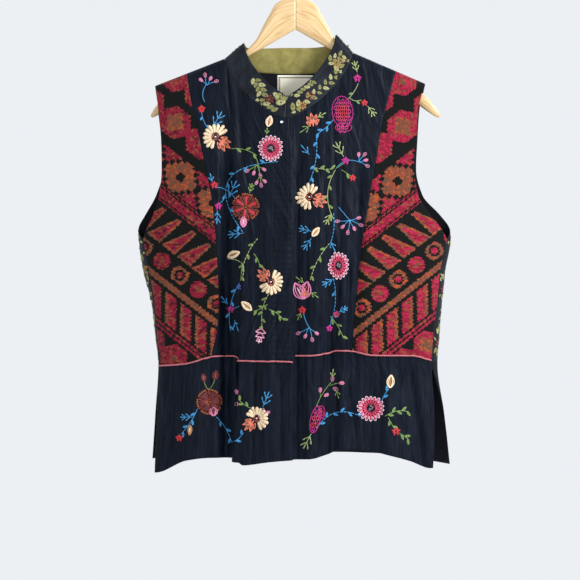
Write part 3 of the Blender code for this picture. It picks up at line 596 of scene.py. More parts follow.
def body(angle, z, lift=0.0):
    """Points on the middle of the cloth, with the front raised by lift."""
    x = loop_x(angle, z)
    out = np.sin(angle)
    front = out > 0
    closing = shoulder_closing(x, z)
    deep = np.where(front, read(SECTIONS, "front", z), read(SECTIONS, "back", z))
    seam = SEAM_GAP / 2 * (1 - closing)
    across, back = pleat_shift(x, z)
    fold = folds_depth(FRONT_FOLDS, x, z) + fine_front(x, z)
    y_front = (fold * closing + back - lift) * np.minimum(1.0, out * 2.0) - seam
    fold = folds_depth(BACK_FOLDS, x, z) + folds_depth(BACK_CREASES, x, z, CREASE_FADE)
    fold = fold + waist_gathers(x, z, BACK_GATHER_Z)
    y_back = -fold * closing * np.minimum(1.0, -out * 2.0) + seam
    y = -deep * out * closing + np.where(front, y_front, y_back)
    return np.stack(np.broadcast_arrays(x + np.where(front, across, 0.0), y, z), axis=-1)


def no_lift(angle, z):
    return 0.0


def lap_lift(angle, z):
    """The left edge of the opening is raised, to lie over the right front."""
    return LAP_LIFT * ease((loop_x(angle, z) - LAP_LIFT_FROM_X) / LAP_LIFT_WIDTH)


def unit(v):
    return v / np.maximum(np.linalg.norm(v, axis=-1, keepdims=True), 1e-12)


def outward(angle, z, lift=no_lift):
    """The direction out of the cloth at points of the loop."""
    x = loop_x(angle, z)
    below = shoulder_z(x) - z
    turn = 0.0004
    drop = np.maximum(np.minimum(0.0003, below * 0.4), 1e-6)
    across = body(angle + turn, z, lift(angle + turn, z))
    across = across - body(angle - turn, z, lift(angle - turn, z))
    down = body(angle, z - drop, lift(angle, z - drop))
    down = down - body(angle, z + drop, lift(angle, z + drop))
    out = unit(np.cross(down, across))
    ridge = []
    for line in (SHOULDER_LEFT, SHOULDER_RIGHT):
        slope = (line[1][1] - line[0][1]) / (line[1][0] - line[0][0])
        ridge.append(unit(np.array((-slope, 0.0, 1.0))))
    on_top = np.where((x < 0)[..., None], ridge[0], ridge[1])
    return np.where((below < 0.00008)[..., None], on_top, out)


# ---------------------------------------------------------------------------------------
# Lines down the cloth, and panels between them
# ---------------------------------------------------------------------------------------


def inset(line, by):
    """An edge line moved along the loop by a distance, to leave the gap at a seam."""

    def moved(z):
        angle, step = line(z), 0.001
        speed = np.linalg.norm(body(angle + step, z) - body(angle - step, z), axis=-1)
        return angle + by / np.maximum(speed / (2 * step), 0.02)

    return moved


def turned(column, right=False, back=False):
    """The edge line the side tables give, as an angle round the loop."""

    def line(z):
        degrees = np.where(
            z > UNDERARM,
            read(ARMHOLES, column, z),
            np.where(z > VENTS[0].z, read(SIDE_SEAMS, column, z), read(VENTS, column, z)),
        )
        angle = np.radians(degrees)
        angle = math.pi - angle if right else angle
        return -angle if back else angle

    return line


def seam_line(column, front=True):
    return lambda z: loop_angle(read(SEAMS, column, z), z, front)


def straight(x):
    return lambda z: loop_angle(x, z)


def leaning(x, foot_x, front=True):
    """A line from a shoulder point down to a place on the waist."""
    return lambda z: loop_angle(
        mix(x, foot_x, np.clip((LEAN_FROM_Z - z) / LEAN_RUN, 0, 1)), z, front)


def lap_edge(z):
    share = ease((NECK_FRONT[1] - z) / (NECK_FRONT[1] - LAP_EDGE_FULL_Z))
    return loop_angle(mix(LAP_EDGE_TOP_X, LAP_EDGE_X, share), z)


def pleat_edge(extra):
    return lambda z: loop_angle(read(PLEAT_LINE, "x", z) + extra, z)


def even(q):
    return q


def close_at_start(q):
    return q**1.2


def close_at_end(q):
    return 1 - (1 - q) ** 1.6


def close_at_both(q):
    return np.where(q < 0.5, (2 * q) ** 1.6 / 2, 1 - (2 - 2 * q) ** 1.6 / 2)


def columns(*parts):
    """Lines between guide lines, given as guide, count, spacing, guide, count, spacing, guide."""
    guides, counts, spacings = parts[0::3], parts[1::3], parts[2::3]
    stretches = [
        (first, last, np.asarray(spacing(np.arange(count) / count), dtype=float))
        for first, last, count, spacing in zip(guides, guides[1:], counts, spacings)
    ]

    def angles(z):
        """Each column's angle at its heights, with the columns on z's last axis."""
        made, at = [], 0
        for first, last, shares in stretches:
            part = z[..., at : at + len(shares)]
            made.append(mix(first(part), last(part), shares))
            at += len(shares)
        return np.concatenate(made + [guides[-1](z[..., at:])], axis=-1)

    return angles, sum(counts) + 1


def where(lines, level, low, high):
    """The height at which each column crosses a level, by halving."""
    angles, count = lines
    low, high = np.full(count, low), np.full(count, high)
    for _ in range(34):
        middle = (low + high) / 2
        under = middle < level(loop_x(angles(middle), middle))
        low, high = np.where(under, middle, low), np.where(under, high, middle)
    return (low + high) / 2


def level(rows, column):
    return lambda x: read(rows, column, x, "x")


# Where the top edge, the waist seam and the hem are looked for
TOP_BETWEEN, WAIST_BETWEEN, HEM_BETWEEN = (-0.30, -0.10), (-0.66, -0.58), (-0.82, -0.72)
SHOULDER_DOWN = (0.0, 0.0003, 0.0008, 0.0016, 0.0028, 0.0044, 0.0063, 0.0086, 0.0112, 0.0140)
Grid = namedtuple("Grid", "points outs down start")


def bodice_grid(lines, front, waist, lift=no_lift, rows=(90, 82)):
    """A panel that hangs from the shoulder or neck to the waist."""
    angles, _ = lines
    top = where(lines, lambda x: top_z(x, front), *TOP_BETWEEN)
    bottom = where(lines, waist, *WAIST_BETWEEN) + SEAM_GAP / 2
    heights = [top - down for down in SHOULDER_DOWN]
    for start, end, count in ((heights[-1], UNDERARM, rows[0]), (UNDERARM, bottom, rows[1])):
        heights += [mix(start, end, (k + 1) / count) + 0 * top for k in range(count)]
    z = np.array(heights)
    angle = angles(z)
    return Grid(body(angle, z, lift(angle, z)), outward(angle, z, lift), z,
                len(SHOULDER_DOWN) - 1 + rows[0])


def skirt_grid(lines, waist, hem, lift=no_lift, rows=66):
    """A panel that hangs from the waist seam to the hem."""
    angles, _ = lines
    top = where(lines, waist, *WAIST_BETWEEN) - SEAM_GAP / 2
    bottom = where(lines, hem, *HEM_BETWEEN)
    z = mix(top, bottom, (np.arange(rows + 1) / rows)[:, None])
    angle = angles(z)
    return Grid(body(angle, z, lift(angle, z)), outward(angle, z, lift), z, 0)


HALF_GAP = SEAM_GAP / 2
FRONT_LEFT_SIDE = turned("front_left")
FRONT_RIGHT_SIDE = turned("front_right", right=True)
BACK_LEFT_SIDE = turned("back_left", back=True)
BACK_RIGHT_SIDE = turned("back_right", right=True, back=True)
FRONT_LEFT_SEAM = seam_line("front_left")
FRONT_RIGHT_SEAM = seam_line("front_right")
BACK_LEFT_SEAM = seam_line("back_left", front=False)
BACK_RIGHT_SEAM = seam_line("back_right", front=False)
LEFT_WAIST = level(LEFT_LEVELS, "waist")
RIGHT_WAIST = level(RIGHT_LEVELS, "waist")


def back_waist(x):
    """The back's waist seam, drawn to the front's at the two sides."""
    front = np.where(x < 0, LEFT_WAIST(x), RIGHT_WAIST(x))
    return mix(read(BACK_LEVELS, "waist", x, "x"), front, ease((np.abs(x) - 0.10) / 0.09))


def left_front_parts(first):
    return (first, 26, even, pleat_edge(0.0), 26, close_at_start, pleat_edge(PLEAT_WIDTH),
            42, even, lap_edge)


def right_front_parts(last):
    neck_end = leaning(shoulder_point(False, COLLAR_OFF_SEAM)[0], 0.060)
    return (straight(UNDERLAP_X), 54, close_at_end, neck_end, 22, even, last)


def back_parts(first, last):
    left_end = leaning(shoulder_point(True, COLLAR_OFF_SEAM)[0], -0.080, front=False)
    right_end = leaning(shoulder_point(False, COLLAR_OFF_SEAM)[0], 0.070, front=False)
    return (first, 12, even, left_end, 70, close_at_both, right_end, 12, even, last)


# ---------------------------------------------------------------------------------------
# Materials
# ---------------------------------------------------------------------------------------


def ink(code):
    """An sRGB hex colour as the linear colour that a shader takes."""
    parts = [int(code[i : i + 2], 16) / 255 for i in (1, 3, 5)]
    return (*(c / 12.92 if c <= 0.04045 else ((c + 0.055) / 1.055) ** 2.4 for c in parts), 1.0)


def add(tree, kind, settings=None, links=None):
    """Adds a node with its settings, and its inputs as values or as other nodes' sockets."""
    node = tree.nodes.new(kind)
    for name, value in (settings or {}).items():
        setattr(node, name, value)
    for name, value in (links or {}).items():
        if isinstance(value, bpy.types.NodeSocket):
            tree.links.new(value, node.inputs[name])
        else:
            node.inputs[name].default_value = value
    return node


def ramp(tree, factor, stops, interpolation="LINEAR"):
    """A colour for each stretch of a factor: stops are (place, hex colour)."""
    node = add(tree, "ShaderNodeValToRGB", None, {"Fac": factor})
    node.color_ramp.interpolation = interpolation
    elements = node.color_ramp.elements
    while len(elements) < len(stops):
        elements.new(0.5)
    for element, (place, code) in zip(elements, stops):
        element.position = place
        element.color = ink(code)
    return node.outputs["Color"]


def material(name, **values):
    """A new material and its tree, with its shader's fixed values."""
    made = bpy.data.materials.new(name)
    made.use_nodes = True
    shader = made.node_tree.nodes["Principled BSDF"]
    for socket, value in values.items():
        shader.inputs[socket.replace("_", " ")].default_value = value
    return made, made.node_tree


def finished(made, colour, normal=None):
    """A material with its colour and its relief linked to its shader."""
    shader = made.node_tree.nodes["Principled BSDF"]
    made.node_tree.links.new(colour, shader.inputs["Base Color"])
    if normal is not None:
        made.node_tree.links.new(normal, shader.inputs["Normal"])
    return made


def uv_map(tree, name="cloth"):
    return add(tree, "ShaderNodeUVMap", {"uv_map": name}).outputs["UV"]


def solid_place(tree):
    return add(tree, "ShaderNodeTexCoord").outputs["Object"]


def stretched(tree, vector, *scale):
    made = add(tree, "ShaderNodeMapping", None, {"Vector": vector, "Scale": scale})
    return made.outputs["Vector"]


def noise(tree, vector, scale, detail=2.0, roughness=0.5, distortion=0.0, kind="3D"):
    return add(tree, "ShaderNodeTexNoise", {"noise_dimensions": kind},
               {"Vector": vector, "Scale": scale, "Detail": detail, "Roughness": roughness,
                "Distortion": distortion}).outputs["Fac"]


def bands(tree, vector, pitch, direction="DIAGONAL", distortion=0.0, detail=2.0):
    """Even bands, a given distance apart."""
    return add(tree, "ShaderNodeTexWave", {"bands_direction": direction},
               {"Vector": vector, "Scale": 2 * math.pi / 20 / pitch, "Distortion": distortion,
                "Detail": detail}).outputs["Fac"]


def relief(tree, height, strength, distance, over=None):
    """The relief that a height gives, laid over another relief where there is one."""
    links = {"Height": height, "Strength": strength, "Distance": distance}
    if over is not None:
        links["Normal"] = over
    return add(tree, "ShaderNodeBump", None, links).outputs["Normal"]


def maths(tree, operation, a, b):
    return add(tree, "ShaderNodeMath", {"operation": operation}, {0: a, 1: b}).outputs[0]


def mottled(tree, colour, factor, low, high):
    """A colour made darker and lighter by a noise."""
    light = add(tree, "ShaderNodeMapRange", None,
                {"Value": factor, "From Min": 0.3, "From Max": 0.7, "To Min": low, "To Max": high})
    return add(tree, "ShaderNodeVectorMath", {"operation": "SCALE"},
               {0: colour, "Scale": light.outputs["Result"]}).outputs["Vector"]


def silk_material(name, dark, light, crinkle):
    """Crinkled silk: broken vertical streaks, lighter where the crinkles stand up, a painted highlight on the ridges
    over some real uneven tone, and a soft sheen.
    """
    made, tree = material(name, Roughness=0.50, Sheen_Weight=0.03, Sheen_Roughness=0.4,
                          Sheen_Tint=ink("#8493b4"), Specular_IOR_Level=0.08)
    cloth = uv_map(tree)
    # Crinkles stand 3 to 9 mm apart and run ten times as far down the cloth
    crinkles_and_painted_highlight = noise(tree, stretched(tree, cloth, 1.0, 0.10, 1.0), 210.0, 4.0, 0.6, 0.5, "2D")
    # The colour follows the crinkles' height: lighter on their ridges, a painted highlight, and darker between them.
    colour = ramp(tree, crinkles_and_painted_highlight, ((0.30, dark), (0.72, light)))
    # Soft crumples about 20 mm across, a little longer down the cloth
    crumples = noise(tree, stretched(tree, cloth, 1.0, 0.32, 1.0), 46.0, 2.0, 0.5, 0.35, "2D")
    # Silk yarns are 0.15 mm apart, far too fine to show, so the rib is drawn at 0.9 mm
    rib = relief(tree, bands(tree, cloth, 0.0009, "Y", 1.2, 1.0), 0.25, 0.00006)
    crease = relief(tree, crinkles_and_painted_highlight, 0.8, crinkle, rib)
    return finished(made, colour, relief(tree, crumples, 0.9, 0.0046, crease))


def lining_material():
    """Plain cotton lining: matt, near black, with a faint even weave."""
    made, tree = material("cotton_lining", Roughness=0.86, Specular_IOR_Level=0.15)
    # Cotton yarns at 0.4 mm are drawn at 1.1 mm to show
    weave = bands(tree, uv_map(tree), 0.0011, distortion=1.5)
    colour = ramp(tree, weave, ((0.0, "#0e1015"), (1.0, "#1a1d24")))
    return finished(made, colour, relief(tree, weave, 0.4, 0.0001))


YARNS = ("#0a0e0b", "#861a30", "#86432f", "#6b4533", "#a82142", "#521420", "#a6502a", "#0b0c0d")
GREEN_BLACK, CRIMSON, RUST, BROWN, BRIGHT, DARK_RED, ORANGE, BLACK = range(8)


def tapestry_material():
    """Counted wool needlework: each cell is one small raised stitch of dyed yarn."""
    made, tree = material("counted_wool_needlework", Roughness=0.82, Sheen_Weight=0.04,
                          Sheen_Roughness=0.5, Specular_IOR_Level=0.12)
    yarn = add(tree, "ShaderNodeAttribute", {"attribute_name": "yarn"}).outputs["Fac"]
    cells = uv_map(tree, "cells")
    stops = [(k / 8 - 0.04 if k else 0.0, code) for k, code in enumerate(YARNS)]
    uneven = noise(tree, cells, 0.9, 3.0, 0.7, kind="2D")
    colour = mottled(tree, ramp(tree, yarn, stops, "CONSTANT"), uneven, 0.45, 1.45)
    # Stitches are about 1.3 mm, one to each cell, and show at that size
    height = maths(tree, "MULTIPLY", bands(tree, cells, 1.0, "Y"), bands(tree, cells, 1.0, "X"))
    return finished(made, colour, relief(tree, height, 0.9, 0.0005))


def brocade_material():
    """Brocade ground: black satin with a fine diagonal rib and a low gloss."""
    made, tree = material("silk_brocade_ground", Roughness=0.46, Specular_IOR_Level=0.16)
    cloth = uv_map(tree)
    patches = noise(tree, cloth, 60.0, 3.0, kind="2D")
    colour = ramp(tree, patches, ((0.3, "#0b0e14"), (0.7, "#1a202a")))
    # Satin floats at 0.2 mm are drawn at 1.0 mm to show
    floats = bands(tree, cloth, 0.0010, distortion=2.0, detail=1.0)
    return finished(made, colour, relief(tree, floats, 0.5, 0.00012))


def velvet_material():
    """Cotton velvet facing: a short pile, paler where it brushes up."""
    made, tree = material("cotton_velvet_facing", Roughness=0.85, Sheen_Weight=0.35,
                          Sheen_Roughness=0.4, Sheen_Tint=ink("#d8cf8a"))
    place = solid_place(tree)
    brushed = noise(tree, place, 70.0, 5.0, 0.65)
    colour = ramp(tree, brushed, ((0.30, "#746c33"), (0.70, "#9e9454")))
    return finished(made, colour, relief(tree, noise(tree, place, 1500.0), 0.5, 0.0003))


THREADS = {
    "blue": "#3b8ec4", "deep_blue": "#4a62b4", "green": "#74904a", "light_green": "#9aa86c",
    "pink": "#d87fa4", "pale_pink": "#f0c6d2", "rose": "#c4385c", "magenta": "#b31c78",
    "red": "#c0242e", "coral": "#d6745a", "cream": "#ecd2ae", "tan": "#b07c52",
    "orange": "#a84a26", "dark_red": "#5f1416", "grey": "#9a8794", "dark": "#080a10",
    "olive": "#83824c", "pale_olive": "#a9a673", "burgundy": "#5c1a20", "gold": "#94713a",
}
THREAD_NAMES = list(THREADS)


def thread_material():
    """Stranded embroidery silk: smooth bright strands that catch the light along each stitch."""
    made, tree = material("stranded_embroidery_silk", Roughness=0.40, Sheen_Weight=0.05,
                          Specular_IOR_Level=0.35, Anisotropic=0.4)
    index = add(tree, "ShaderNodeAttribute", {"attribute_name": "thread"}).outputs["Fac"]
    stops = [(max(0.0, (k - 0.5) / len(THREADS)), code) for k, code in enumerate(THREADS.values())]
    strands = noise(tree, solid_place(tree), 900.0)
    colour = mottled(tree, ramp(tree, index, stops, "CONSTANT"), strands, 0.80, 1.12)
    return finished(made, colour, relief(tree, strands, 0.4, 0.0001))


def piping_material():
    """Bias-cut cotton over a cord: salmon, with faint slanting ridges."""
    made, tree = material("bias_cotton_piping", Roughness=0.62, Sheen_Weight=0.2)
    twist = bands(tree, uv_map(tree), 0.0016, distortion=1.0)
    colour = ramp(tree, twist, ((0.0, "#a04652"), (1.0, "#c87078")))
    return finished(made, colour, relief(tree, twist, 0.5, 0.0002))


def wood_material():
    """Lacquered beech: long pale grain with darker flecks, and a satin clear coat."""
    made, tree = material("lacquered_beech", Roughness=0.42, Coat_Weight=0.35,
                          Coat_Roughness=0.25, IOR=1.5)
    # Grain lines 1 to 3 mm apart run the length of each arm
    grain = noise(tree, stretched(tree, uv_map(tree), 14.0, 420.0, 1.0), 1.0, 5.0, 0.62, 0.6, "2D")
    colour = ramp(tree, grain, ((0.28, "#bf935a"), (0.50, "#dab984"), (0.74, "#e8cfa6")))
    return finished(made, colour, relief(tree, grain, 0.25, 0.00012))


def steel_material(name, colour, roughness):
    """Bright plated metal with faint drawn or pressed marks."""
    made, tree = material(name, Metallic=1.0, Roughness=roughness)
    marks = noise(tree, solid_place(tree), 900.0, 3.0)
    return finished(made, ramp(tree, marks, ((0.3, colour), (0.7, "#e6e8ec"))),
                    relief(tree, marks, 0.15, 0.00004))


LABEL_BORDER = (0.070, 0.012)
LABEL_SHAPE = 1.57


def label_material():
    """Woven cotton label: cream, with a plain dark double line inside its edge."""
    made, tree = material("woven_cotton_label", Roughness=0.75, Sheen_Weight=0.15)
    share = uv_map(tree, "share")
    split = add(tree, "ShaderNodeSeparateXYZ", None, {"Vector": share})
    # How far in from the nearest edge, as a share of the label's height
    across, down = (
        maths(tree, "MULTIPLY", maths(tree, "PINGPONG", split.outputs[axis], 0.5), scale)
        for axis, scale in (("X", LABEL_SHAPE), ("Y", 1.0)))
    start, line = LABEL_BORDER
    cream, dark = "#fffae2", "#3e362c"
    colour = ramp(tree, maths(tree, "MINIMUM", across, down), (
        (0.0, cream), (start, dark), (start + 2.4 * line, cream), (start + 4 * line, dark),
        (start + 5 * line, cream)), "CONSTANT")
    weave = bands(tree, share, 1 / 55, "X", 0.6)
    return finished(made, colour, relief(tree, weave, 0.3, 0.0001))


FRONT_SILK = silk_material("crinkled_silk_blue_black", "#060a13", "#121a27", 0.0007)
BACK_SILK = silk_material("plain_silk_black", "#090b10", "#151a22", 0.0006)
LINING = lining_material()
NEEDLEWORK = tapestry_material()
BROCADE = brocade_material()
VELVET = velvet_material()
THREAD = thread_material()
PIPING = piping_material()
WOOD = wood_material()
HOOK_STEEL = steel_material("chromed_steel_wire", "#c4c8ce", 0.22)
BUTTON_METAL = steel_material("nickel_snap", "#d2d4d6", 0.26)
LABEL_CLOTH = label_material()

# ---------------------------------------------------------------------------------------
# Meshes
# ---------------------------------------------------------------------------------------


def mesh_object(name, points, faces, materials, face_material=None, uvs=None, face_values=None):
    """A mesh from numpy points and quads, with UV maps given by point and values by face."""
    mesh = bpy.data.meshes.new(name)
    mesh.vertices.add(len(points))
    mesh.vertices.foreach_set("co", np.asarray(points, dtype=np.float32).ravel())
    faces = np.asarray(faces, dtype=np.int32)
    mesh.loops.add(faces.size)
    mesh.loops.foreach_set("vertex_index", faces.ravel())
    mesh.polygons.add(len(faces))
    starts = np.arange(0, faces.size, faces.shape[1], dtype=np.int32)
    mesh.polygons.foreach_set("loop_start", starts)
    for made in materials:
        mesh.materials.append(made)
    if face_material is not None:
        mesh.polygons.foreach_set("material_index", np.asarray(face_material, dtype=np.int32))
    mesh.polygons.foreach_set("use_smooth", np.ones(len(faces), dtype=bool))
    for label, uv in (uvs or {}).items():
        layer = mesh.uv_layers.new(name=label)
        layer.data.foreach_set("uv", np.asarray(uv, dtype=np.float32)[faces.ravel()].ravel())
    for label, values in (face_values or {}).items():
        kept = mesh.attributes.new(label, "FLOAT", "FACE")
        kept.data.foreach_set("value", np.asarray(values, dtype=np.float32))
    mesh.update()
    mesh.validate()
    obj = bpy.data.objects.new(name, mesh)
    SCENE.collection.objects.link(obj)
    return obj


def arc_lengths(points, axis):
    steps = np.linalg.norm(np.diff(points, axis=axis), axis=-1)
    start = np.zeros_like(np.take(steps, [0], axis=axis))
    return np.concatenate((start, np.cumsum(steps, axis=axis)), axis=axis)


def shell(name, grid, thickness, outside, inside, yarns=None):
    """A wall of cloth on a grid, with rounded edges, a face side and a lining side."""
    points, outs = grid.points, grid.outs
    rows, count = points.shape[:2]
    half = thickness / 2
    outer = np.arange(rows * count).reshape(rows, count)
    inner = outer + rows * count
    quads = np.stack((outer[:-1, :-1], outer[1:, :-1], outer[1:, 1:], outer[:-1, 1:]), axis=-1)
    back = np.stack((inner[:-1, :-1], inner[:-1, 1:], inner[1:, 1:], inner[1:, :-1]), axis=-1)
    # The rim goes once round, with a middle ring pushed a little out of the edge
    loop = np.concatenate((outer[0, :-1], outer[:-1, -1], outer[-1, :0:-1], outer[:0:-1, 0]))
    flat = points.reshape(-1, 3)
    toward = np.zeros_like(points)
    toward[0] += unit(points[0] - points[1])
    toward[-1] += unit(points[-1] - points[-2])
    toward[:, 0] += unit(points[:, 0] - points[:, 1])
    toward[:, -1] += unit(points[:, -1] - points[:, -2])
    rim = flat[loop] + unit(toward.reshape(-1, 3)[loop]) * half * 0.35
    ring = 2 * rows * count + np.arange(len(loop))
    ahead = np.roll(np.arange(len(loop)), -1)
    hem_out = np.stack((loop, loop[ahead], ring[ahead], ring), axis=-1)
    far = loop + rows * count
    hem_in = np.stack((ring, ring[ahead], far[ahead], far), axis=-1)
    everything = np.concatenate((flat + outs.reshape(-1, 3) * half,
                                 flat - outs.reshape(-1, 3) * half, rim))
    u, v = arc_lengths(points, 1), arc_lengths(points, 0)
    v = v - v[grid.start]
    cloth = np.stack((u, v), axis=-1).reshape(-1, 2)
    column, row = np.meshgrid(np.arange(count), np.arange(rows))
    cells = np.stack((column, row), axis=-1).reshape(-1, 2)
    share = np.stack((column / (count - 1), row / (rows - 1)), axis=-1).reshape(-1, 2)
    uvs = {label: np.concatenate((uv, uv, uv[loop]))
           for label, uv in (("cloth", cloth), ("cells", cells), ("share", share))}
    faces = np.concatenate((quads.reshape(-1, 4), hem_out, hem_in, back.reshape(-1, 4)))
    lined = np.concatenate((np.zeros(len(quads.reshape(-1, 4)) + 2 * len(loop)),
                            np.ones(len(back.reshape(-1, 4)))))
    values = None
    if yarns is not None:
        rest = np.full(len(faces) - yarns.size, BLACK / 8)
        values = {"yarn": np.concatenate((yarns.ravel() / 8, rest))}
    return mesh_object(name, everything, faces, [outside, inside], lined, uvs, values)


def cloth_size(grid):
    """The cloth's width, length and area, measured along itself."""
    p = grid.points
    wide = arc_lengths(p, 1)[:, -1].max()
    long = arc_lengths(p, 0)[-1].max()
    a, b = p[1:, 1:] - p[:-1, :-1], p[1:, :-1] - p[:-1, 1:]
    area = np.linalg.norm(np.cross(a, b), axis=-1).sum() / 2
    return float(wide), float(long), float(area)


def flipped(grid):
    """The same grid with its columns the other way, so that its face side faces out."""
    return Grid(grid.points[:, ::-1], grid.outs[:, ::-1], grid.down[:, ::-1], grid.start)


def settle(obj, slot, *nodes):
    """A finished piece rides on the one body, stands for its nodes and names its slot."""
    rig.ride(obj, "root")
    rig.slot(obj, slot)
    if nodes:
        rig.replaces(obj, *nodes)
    return obj


def tube(name, points, radius, sides, outside):
    """A round bar along points, closed with rounded ends."""
    points = np.asarray(points, dtype=float)
    ahead = unit(np.gradient(points, axis=0))
    side = unit(np.cross(ahead[0], (0.0, 1.0, 0.1)))
    sizes = np.concatenate(([radius * 0.55], np.full(len(points), radius), [radius * 0.55]))
    points = np.concatenate((points[:1] - ahead[:1] * radius * 0.6, points,
                             points[-1:] + ahead[-1:] * radius * 0.6))
    ahead = np.concatenate((ahead[:1], ahead, ahead[-1:]))
    rings = []
    a = 2 * math.pi * np.arange(sides) / sides
    for p, d, r in zip(points, ahead, sizes):
        side = unit(side - d * np.dot(side, d))
        other = np.cross(d, side)
        rings.append(p + r * (np.cos(a)[:, None] * side + np.sin(a)[:, None] * other))
    return lathe(name, np.array(rings), arc_lengths(points, 0), outside)


def lathe(name, rings, length, outside):
    """A closed skin over rings of points, with a middle point at each end."""
    count, sides = rings.shape[:2]
    flat = rings.reshape(-1, 3)
    index = np.arange(count * sides).reshape(count, sides)
    turn = np.roll(index, -1, axis=1)
    quads = np.stack((index[:-1], turn[:-1], turn[1:], index[1:]), axis=-1).reshape(-1, 4)
    ends = np.array((rings[0].mean(0), rings[-1].mean(0)))
    first, last = len(flat), len(flat) + 1
    caps = []
    for k in range(0, sides, 2):
        k2, k3 = (k + 1) % sides, (k + 2) % sides
        caps.append((first, index[0, k3], index[0, k2], index[0, k]))
        caps.append((last, index[-1, k], index[-1, k2], index[-1, k3]))
    around = np.concatenate((np.tile(np.arange(sides) / sides, count), (0, 0)))
    step = float(np.linalg.norm(rings[count // 2, 0] - rings[count // 2, 1])) * sides
    down = np.concatenate((np.repeat(length, sides), (length[0], length[-1])))
    uv = np.stack((down, around * step), axis=-1)
    return mesh_object(name, np.concatenate((flat, ends)), np.concatenate((quads, caps)),
                       [outside], None, {"cloth": uv})


# ---------------------------------------------------------------------------------------
# The needlework of the side panels, on a plan of 1.53 mm units
# ---------------------------------------------------------------------------------------

UNIT = 0.00153
PLAN_MIDDLE = 295.5
PLAN_TOP = 0.0696


def plan(points):
    """Where points of the cloth lie on the plan: across, and down as the imaginary part."""
    return points[..., 0] / UNIT + PLAN_MIDDLE - 1j * (points[..., 2] + PLAN_TOP) / UNIT


def chance(a, b, seed):
    """A fixed pseudo-random number from 0 to 1 for whole numbers a and b."""
    value = np.sin(a * 127.1 + b * 311.7 + seed * 74.7) * 43758.5453
    return value - np.floor(value)


# The left panel's reds lean to the darker yarn and the right panel's to the brighter one: painted shade on the left
# and painted light on the right, from how the light falls.
REDS_WITH_PAINTED_SHADE = (CRIMSON, CRIMSON, DARK_RED, CRIMSON, RUST, CRIMSON)
REDS_WITH_PAINTED_LIGHT = (CRIMSON, BRIGHT, CRIMSON, BRIGHT, RUST, CRIMSON)
RUSTS = (RUST, RUST, BROWN, RUST, ORANGE, BROWN)
BROWNS = (BROWN, BROWN, RUST, BROWN)
GROUND = (GREEN_BLACK, GREEN_BLACK, BLACK, GREEN_BLACK)

# The side panels' repeat: slanting stripes of plain traditional figures, worked out from these
# sizes. Start and end are across the slant, from the ribbon under the armhole; pitch is along
# it. The panels mirror each other.
Stripe = namedtuple("Stripe", "kind start end pitch lean")
STRIPES = [Stripe(*row) for row in (
    ("lozenges", -142, -116, 30, 0.0),
    ("lozenges", -112, -86, 30, 0.0),
    ("lozenges", -78, -49, 34, 0.0),
    ("crosses", -40, -8, 42, 0.0),
    ("ribbon", -6.5, 6.5, 40, 0.0),
    ("spires", 9, 42, 19, -0.35),
    ("medallions", 43, 63, 23, 0.0),
    ("ladder", 64, 72, 3.4, 0.0),
    ("bars", 74, 99, 19, 0.75),
    ("ribbon", 101, 107, 40, 0.0),
    ("lozenges", 109, 135, 28, 0.0),
    ("lozenges", 139, 165, 28, 0.0),
)]
SLANT = math.radians(38)
RIBBON_AT = (150 + 184j, 428 + 188j)


def pick(yarns, row, column, seed):
    """One yarn, or a yarn for each short run of stitches, brick fashion."""
    if isinstance(yarns, int):
        return np.full(row.shape, yarns)
    course = row // 2
    choice = chance(course, (column + course) // 3, seed)
    return np.array(yarns)[(choice * len(yarns)).astype(int)]


def figures(stripe, along_it, across_it):
    """Where one stripe's figures have their rim, their body and their heart."""
    high = stripe.end - stripe.start
    q = (across_it - stripe.start) / high
    place = (along_it - stripe.lean * (across_it - stripe.start)) / stripe.pitch
    odd = np.floor(place) % 2 == 1
    aside = (place % 1 - 0.5) * stripe.pitch
    a, b = abs(aside), abs(q - 0.5) * high
    inside = (q >= 0) & (q < 1)
    none = np.zeros(inside.shape, dtype=bool)
    if stripe.kind == "ribbon":
        lines = abs(b - high / 2 + 1.8) < 0.8 if high > 8 else b < 0.7
        return none, inside & ~lines, none
    if stripe.kind == "ladder":
        return inside & (b < 2.8), none, inside & (b < 2.8) & (a < 0.8)
    if stripe.kind == "lozenges":
        far = a / (stripe.pitch * 0.60) + b / (high * 0.82)
        return inside & (far < 0.50) & odd, inside & (far < 1), inside & (far < 0.20)
    if stripe.kind == "crosses":
        steps = np.floor(a / 4.5) + np.floor(b / 4.5)
        hole = (a < 4.0) & (b < 4.0)
        body = inside & (steps < 4) & ~hole
        corners = inside & (steps > 4) & (a > 9.5)
        return body, body | corners, none
    if stripe.kind == "spires":
        wide = stripe.pitch * (0.12 + 0.34 * q)
        body = inside & (a < wide) & (q > 0.04) & (q < 0.94)
        return body & ((a > wide - 2.2) | (q > 0.88)), body, none
    if stripe.kind == "medallions":
        far = np.hypot(a / 9.0, b / 9.6)
        ring = (far < 1) & (far > 0.60) & (b < 7.6)
        core = np.hypot(a, b) < 3.4
        disc = np.hypot(a, b) < 8.4
        return inside & odd & ring, inside & np.where(odd, ring | core, disc), inside & ~odd & (
            np.hypot(a, b) < 2.2)
    body = inside & (a < stripe.pitch * 0.36)
    return body & (aside < -stripe.pitch * 0.16), body, none


